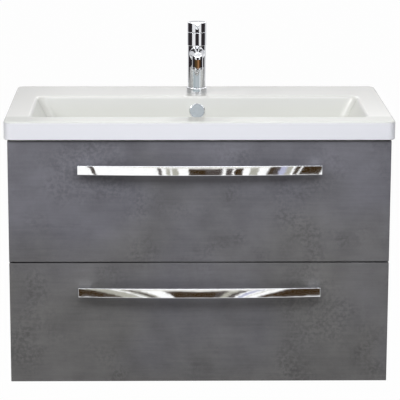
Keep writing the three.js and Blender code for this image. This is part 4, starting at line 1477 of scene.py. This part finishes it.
    def _pin(self) -> bpy.types.Object:
        """Turns the lever's pin, with a ring where it meets the head and a domed tip.

        Returns:
            The finished piece.
        """
        ahead, above = self.pin_root
        root_y = self.axis.y - self.dome.wide - ahead
        root = Vector((0, root_y, RoundNode("tap_lever_head").low + above))
        radius, length = self.pin, self.pin_length
        profile = [
            *((radius, height) for height in (0.0, length * 0.4, length - self.pin_tip)),
            *rounded(radius, length, self.pin_tip),
            (0.3 * radius, length),
        ]
        piece = Workpiece("lever_pin").turn(profile, Vector(), 40)
        return piece.lay(tipped(root, self.pin_rise)).finish(30)

    def build(self) -> None:
        """Models, places and dresses the tap."""
        fixed = {
            "tap_base": self._base(),
            "tap_body": self._body(),
            "tap_aerator": self._aerator(),
            "tap_collar": self._collar(),
        }
        moving = {"tap_lever_head": self._head(), "tap_lever_pin": self._pin()}
        for body, pieces in (("cabinet", fixed), ("tap_lever", moving)):
            for node, piece in pieces.items():
                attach(piece, body)
                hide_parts(node)
                Chrome().dress(piece)
                report(piece)


# ---------------------------------------------------------------- drawer fronts and handles


@dataclass
class BowHandle:
    """A wide chrome bar that arches away from its drawer front and softens towards mid length."""

    tier: Tier
    thick: float = 8 * MM
    tall: float = 19 * MM
    crown: float = 1.2 * MM
    bow: float = 8 * MM
    foot: float = 28 * MM
    fillet: float = 9 * MM
    spare: float = 2 * MM
    end_ease: float = 0.35 * MM
    mid_ease: float = 0.7 * MM
    back_ease: float = 0.6 * MM
    stations: int = 32

    def build(self) -> bpy.types.Object:
        """Models the bar and its two feet.

        Returns:
            The finished piece.
        """
        low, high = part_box(f"{self.tier.value}_handle")
        half = (high.x - low.x) / 2
        front = low.y + self.bow
        middle_z = (low.z + high.z) / 2
        centre = Vector((0, front + self.thick / 2, middle_z))
        size = Vector((half, self.thick / 2, self.tall / 2))
        piece = Workpiece(f"{self.tier.value}_bar").block(centre - size, centre + size)
        inner = half - self.foot
        reach = inner - self.fillet - self.spare
        places = [reach * (2 * i / self.stations - 1) for i in range(self.stations + 1)]
        places += [-inner, inner]
        for at in places:
            piece.slice(Vector((at, 0, 0)), Vector((1, 0, 0)))
        for at in places:
            swell = 1 - (at / half) ** 2
            piece.pick(Pick.CORNERS, lambda p, n, at=at: abs(p.x - at) < NEAR)
            bpy.ops.transform.translate(value=(0, -self.bow * swell, 0))
            growth = (self.tall + self.crown * swell) / self.tall
            bpy.ops.transform.resize(value=(1, 1, growth), center_override=(at, 0, middle_z))
        behind = front + self.thick
        piece.pick(Pick.FACES, lambda p, n: n.y > 0.7 and abs(p.x) > inner)
        piece.extrude((0, high.y - behind, 0))
        bpy.ops.transform.resize(value=(1, 0, 1), center_override=(0, high.y, middle_z))
        piece.sharp_edges(
            lambda p, n: abs(abs(p.x) - inner) < 1e-4 and abs(n.z) < 0.1 and p.y < behind, 30
        )
        piece.bevel(self.fillet, 8)
        self._soften(piece, half)
        made = piece.finish(40)
        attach(made, f"{self.tier.value}_drawer")
        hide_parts(f"{self.tier.value}_handle")
        Chrome().dress(made)
        report(made)
        return made

    def _soften(self, piece: Workpiece, half: float) -> None:
        """Rounds every long edge, the front ones more towards mid length.

        Args:
            piece: The bar in edit mode.
            half: Half of its length.
        """
        most = self.end_ease + self.mid_ease
        mesh = bmesh.from_edit_mesh(piece.obj.data)
        weight = mesh.edges.layers.float.new("bevel_weight_edge")
        mesh.normal_update()
        for edge in mesh.edges:
            if edge.calc_face_angle(0.0) < math.radians(30):
                continue
            first, second = (vertex.co for vertex in edge.verts)
            middle = (first + second) / 2
            along = abs(second.x - first.x) > 0.7 * (second - first).length
            faces_front = sum((face.normal.y for face in edge.link_faces)) < -0.5
            swell = 1 - (middle.x / half) ** 2
            ease = self.end_ease + self.mid_ease * swell if along and faces_front else self.back_ease
            edge[weight] = ease / most
        bmesh.update_edit_mesh(piece.obj.data)
        piece.apply("BEVEL", limit_method="WEIGHT", width=most, segments=6, use_clamp_overlap=False)


@dataclass
class DrawerFront:
    """A decor board with eased edges and a fine glue line where its edge band starts."""

    tier: Tier
    ease: float = 1.0 * MM
    band: float = 0.9 * MM
    line: float = 0.12 * MM

    def build(self) -> bpy.types.Object:
        """Models the board.

        Returns:
            The finished piece.
        """
        low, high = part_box(f"{self.tier.value}_front")
        piece = Workpiece(f"{self.tier.value}_panel").block(low, high)
        piece.sharp_edges(lambda p, n: True)
        piece.bevel(self.ease, 4)
        for way in (-1, 1):
            piece.pick(Pick.FACES, lambda p, n, way=way: n.y * way > 0.99)
            bpy.ops.mesh.inset(thickness=self.band)
            bpy.ops.mesh.inset(thickness=self.line, depth=-self.line)
            bpy.ops.mesh.inset(thickness=self.line, depth=self.line)
        made = piece.finish(40)
        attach(made, f"{self.tier.value}_drawer")
        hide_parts(f"{self.tier.value}_front")
        ConcreteDecor().dress(made)
        report(made)
        return made


# ---------------------------------------------------------------- carcass and fittings


@dataclass(frozen=True)
class CarriedOver:
    """CAD nodes that show as they are, grouped by the finish that their packed material names."""

    finishes: tuple[Finish, ...] = (
        ConcreteDecor(),
        CarcassBoard(),
        DrawerBoard(),
        GlazedCeramic(),
        Chrome(),
        ZincPlate(),
        Brass(),
        Nylon(),
        Rubber(),
    )

    def dress(self) -> None:
        """Gives each node that still shows the finish of its slot."""
        by_slot = {finish.slot: finish for finish in self.finishes}
        for subpart in frame["record"]["subparts"]:
            node = frame["nodes"][subpart["node"]]
            if not node.hide_render:
                by_slot[subpart["material_slot"]].dress(node)
        log.info("carried over: %d nodes", sum(not n.hide_render for n in frame["nodes"].values()))


# ---------------------------------------------------------------- studio


@dataclass(frozen=True)
class Lamp:
    """A rectangular soft light."""

    name: str
    power: float
    size: tuple[float, float]
    place: Triple
    aim: Triple
    colour: Triple = (1.0, 0.99, 0.97)

    def build(self) -> None:
        """Hangs the lamp so that it faces its aim."""
        data = bpy.data.lights.new(self.name, "AREA")
        data.shape = "RECTANGLE"
        data.size, data.size_y = self.size
        data.energy = self.power
        data.color = self.colour
        lamp = bpy.data.objects.new(self.name, data)
        way = Vector(self.aim) - Vector(self.place)
        turn = way.to_track_quat("-Z", "Y").to_matrix().to_4x4()
        lamp.matrix_world = Matrix.Translation(self.place) @ turn
        bpy.context.scene.collection.objects.link(lamp)


def staged_plane(
    name: str, size: tuple[float, float], place: Triple, turn: Triple, paint: bpy.types.Material
) -> bpy.types.Object:
    """Adds a plane that belongs to the studio and not to the object.

    Args:
        name: The plane's name.
        size: Its width and depth.
        place: Its middle.
        turn: Its rotation in radians.
        paint: Its material.

    Returns:
        The plane.
    """
    bpy.ops.object.select_all(action="DESELECT")
    bpy.ops.mesh.primitive_plane_add(size=1, location=place, rotation=turn)
    plane = bpy.context.object
    plane.name = name
    plane.scale = (*size, 1)
    plane.data.materials.append(paint)
    return plane


@dataclass(frozen=True)
class Card:
    """An upright card that only shiny surfaces see, with blocks of tone along its length."""

    name: str
    size: tuple[float, float]
    place: Triple
    tones: Tones
    turn: float = 0.0
    ragged: float = 0.0
    blend: str = "LINEAR"
    lean: float = 0.0
    edge: float = 1.0
    rim_tone: Colour = srgb(255, 252, 244)

    def _paint(self) -> bpy.types.Material:
        """Builds a glow in uneven blocks, with a bright rim that curves in at both ends.

        Returns:
            The material.
        """
        shader = Shader.material(self.name)
        fray = self.ragged * (shader.noise(9.0, 3, 0.6) - 0.5)
        across, height = shader.axis(0), shader.axis(1)
        along = across + 0.5 + fray - self.lean * across * height
        settings = {"interpolation": self.blend, "stops": self.tones}
        ramp = shader.node("ShaderNodeValToRGB", settings, {0: along})
        rim = (height - across * across).over(self.edge, 0.06)
        lit = shader.blend(rim, ramp.outputs[0], self.rim_tone)
        strength = 0.72 + 0.56 * shader.noise(34.0, 3, 0.6)
        return shader.end(shader.node("ShaderNodeEmission", {}, {"Color": lit, "Strength": strength}))

    def build(self) -> None:
        """Hangs the card, hidden from all but reflected light."""
        upright = (math.radians(90), 0, self.turn)
        card = staged_plane(self.name, self.size, self.place, upright, self._paint())
        for ray in ("camera", "diffuse", "transmission", "volume_scatter", "shadow"):
            setattr(card, f"visible_{ray}", False)


@dataclass
class Studio:
    """The pale floor, the soft lights, the white surroundings and the camera."""

    eye: Triple = (-0.0809, -4.6275, 0.8365)
    yaw: float = 0.0196
    pitch: float = 0.2159
    roll: float = 0.003
    lens: float = 183.8
    floor_drop: float = 0.85
    floor_side: float = 60.0
    floor_glow: float = 1.012
    floor_shadow: float = 0.97
    surround: float = 0.27
    lamps: tuple[Lamp, ...] = (
        Lamp("key", 15.8, (1.8, 0.45), (0.08, -1.46, 0.75), (0.0, -0.45, -0.05), (0.95, 0.97, 1.0)),
        Lamp("left", 12.5, (0.4, 0.4), (-1.7, -1.15, 1.15), (-0.2, -0.3, 0.0)),
        Lamp("right", 4.5, (1.2, 0.9), (2.3, -0.2, 1.1), (0.3, -0.25, -0.1)),
        Lamp("rear", 9.0, (1.6, 0.9), (0.3, 2.1, 1.0), (0.0, 0.0, -0.15)),
        Lamp("top", 1.7, (1.2, 0.4), (-0.35, 0.25, 1.5), (-0.1, -0.2, 0.0)),
    )
    dark: Colour = srgb(62, 46, 26)
    dusk: Colour = srgb(84, 76, 72)
    slate: Colour = srgb(196, 198, 222)
    stone: Colour = srgb(188, 186, 172)
    white: Colour = (1.25, 1.24, 1.2, 1.0)
    bar_card: tuple[float, float] = (0.93, 0.034)
    nose_card: tuple[float, float] = (0.13, 0.02)
    bowl_card: tuple[float, float] = (0.67, 0.075)
    bowl_card_place: tuple[float, float] = (-0.392, -0.042)
    ring_height: float = 0.8
    ring_level: float = 0.2

    def _camera(self) -> None:
        """Sets the camera by its eye point and three angles."""
        level = math.cos(self.pitch)
        ahead = Vector((math.sin(self.yaw) * level, math.cos(self.yaw) * level, -math.sin(self.pitch)))
        right = Vector((math.cos(self.yaw), -math.sin(self.yaw), 0))
        above = right.cross(ahead)
        tilted = right * math.cos(self.roll) + above * math.sin(self.roll)
        upright = tilted.cross(ahead)
        turn = Matrix((tilted, upright, -ahead)).transposed().to_4x4()
        data = bpy.data.cameras.new("camera")
        data.lens = self.lens
        data.sensor_width = 36.0
        data.clip_end = 60.0
        camera = bpy.data.objects.new("camera", data)
        camera.matrix_world = Matrix.Translation(self.eye) @ turn
        bpy.context.scene.collection.objects.link(camera)
        bpy.context.scene.camera = camera

    def _world(self) -> None:
        """Fills the surroundings with a plain level that reads as white where it is seen."""
        world = bpy.data.worlds.new("surroundings")
        bpy.context.scene.world = world
        shader = Shader(world)
        span = {"Value": shader.seen(), "To Min": self.surround, "To Max": 1.0}
        level = shader.node("ShaderNodeMapRange", {}, span).outputs[0]
        shader.end(shader.node("ShaderNodeBackground", {}, {"Color": (1, 1, 1, 1), "Strength": level}))

    def _floor(self) -> None:
        """Lays a wide pale floor at standing height below the rim, which keeps the soft shadow."""
        shader = Shader.material("floor")
        glow = {"Color": (1, 1, 1, 1), "Strength": self.floor_glow}
        white = shader.node("ShaderNodeEmission", {}, glow).outputs[0]
        matt = shader.node("ShaderNodeBsdfDiffuse", {}, {"Color": srgb(186, 186, 185)}).outputs[0]
        mix = {0: self.floor_shadow * shader.seen(), 1: matt, 2: white}
        paint = shader.end(shader.node("ShaderNodeMixShader", {}, mix))
        place = (0, 0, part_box("washbasin")[1].z - self.floor_drop)
        staged_plane("floor", (self.floor_side, self.floor_side), place, (0, 0, 0), paint)

    def _bar_cards(self) -> None:
        """Hangs the two cards whose blocks show in the handles."""
        dark, dusk, slate, stone, white = self.dark, self.dusk, self.slate, self.stone, self.white
        upper = (
            (0.0, white), (0.05, dusk), (0.07, white), (0.325, dusk), (0.343, white), (0.363, stone),
            (0.377, white), (0.385, stone), (0.41, white), (0.45, dark), (0.52, dusk), (0.588, white),
            (0.605, dusk), (0.63, white), (0.637, dark), (0.675, white), (0.7, stone), (0.735, white),
            (0.775, dark), (0.8, dusk), (0.822, slate), (0.85, stone), (0.875, white), (0.885, dark),
            (0.903, white), (0.914, dark), (0.996, white),
        )
        lower = (
            (0.0, dark), (0.105, stone), (0.2, white), (0.225, stone), (0.245, dusk), (0.275, stone),
            (0.295, white), (0.37, dark), (0.57, dusk), (0.6, stone), (0.64, dusk), (0.675, white),
            (0.688, slate), (0.718, white), (0.735, stone), (0.745, white), (0.8, dark),
        )
        both = {"size": self.bar_card, "blend": "CONSTANT"}
        place = (0.022, -1.6, -0.238)
        Card("upper_card", place=place, tones=upper, ragged=0.03, lean=0.06, edge=0.27, **both).build()
        place = (0.022, -1.6, -0.570)
        Card("lower_card", place=place, tones=lower, ragged=0.05, lean=0.6, edge=0.25, **both).build()

    def _tap_cards(self) -> None:
        """Hangs the small cards before the spout and in the bowl, and the ring that the tap mirrors."""
        low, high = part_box("tap_aerator")
        place = ((low.x + high.x) / 2 + 4 * MM, low.y - 20 * MM, high.z - 1 * MM)
        amber = (
            (0.0, self.dark), (0.38, srgb(88, 70, 44)), (0.48, srgb(140, 98, 62)),
            (0.54, srgb(180, 134, 94)), (0.6, srgb(104, 72, 46)), (0.72, self.dark),
        )
        Card("nose_card", self.nose_card, place, amber).build()
        pale = (
            (0.0, srgb(226, 232, 232)), (0.12, srgb(176, 186, 187)), (0.3, srgb(182, 192, 194)),
            (0.5, srgb(196, 203, 206)), (0.7, srgb(184, 193, 195)), (0.85, srgb(234, 238, 238)),
        )
        ahead, drop = self.bowl_card_place
        Card("bowl_card", self.bowl_card, (0.0, ahead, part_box("washbasin")[1].z + drop), pale).build()
        black = ((0.0, srgb(58, 52, 54)), (1.0, srgb(42, 40, 44)))
        grey = ((0.0, srgb(206, 206, 209)), (1.0, srgb(216, 217, 220)))
        middle = RoundNode("tap_base").axis.y
        ring = ((-98, 38, 1.5, black), (2, 22, 1.5, black), (86, 33, 1.5, black), (180, 50, 1.9, grey))
        for azimuth, half, reach, tones in ring:
            turn = math.radians(azimuth)
            place = (reach * math.sin(turn), middle - reach * math.cos(turn), self.ring_level)
            size = (2 * reach * math.tan(math.radians(half)), self.ring_height)
            Card(f"ring_card_{azimuth}", size, place, tones, turn).build()

    def build(self) -> None:
        """Sets up everything that isn't part of the object."""
        self._camera()
        self._world()
        self._floor()
        for lamp in self.lamps:
            lamp.build()
        self._bar_cards()
        self._tap_cards()
        bpy.context.scene.view_settings.view_transform = "Standard"


def main() -> None:
    """Builds the vanity's visual model and its studio."""
    logging.basicConfig(level=logging.INFO, format="%(name)s: %(message)s")
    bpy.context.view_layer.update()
    Studio().build()
    Washbasin().build()
    WasteFittings().build()
    MixerTap().build()
    for tier in Tier:
        DrawerFront(tier).build()
        BowHandle(tier).build()
    CarriedOver().dress()


if __name__ == "__main__":
    main()
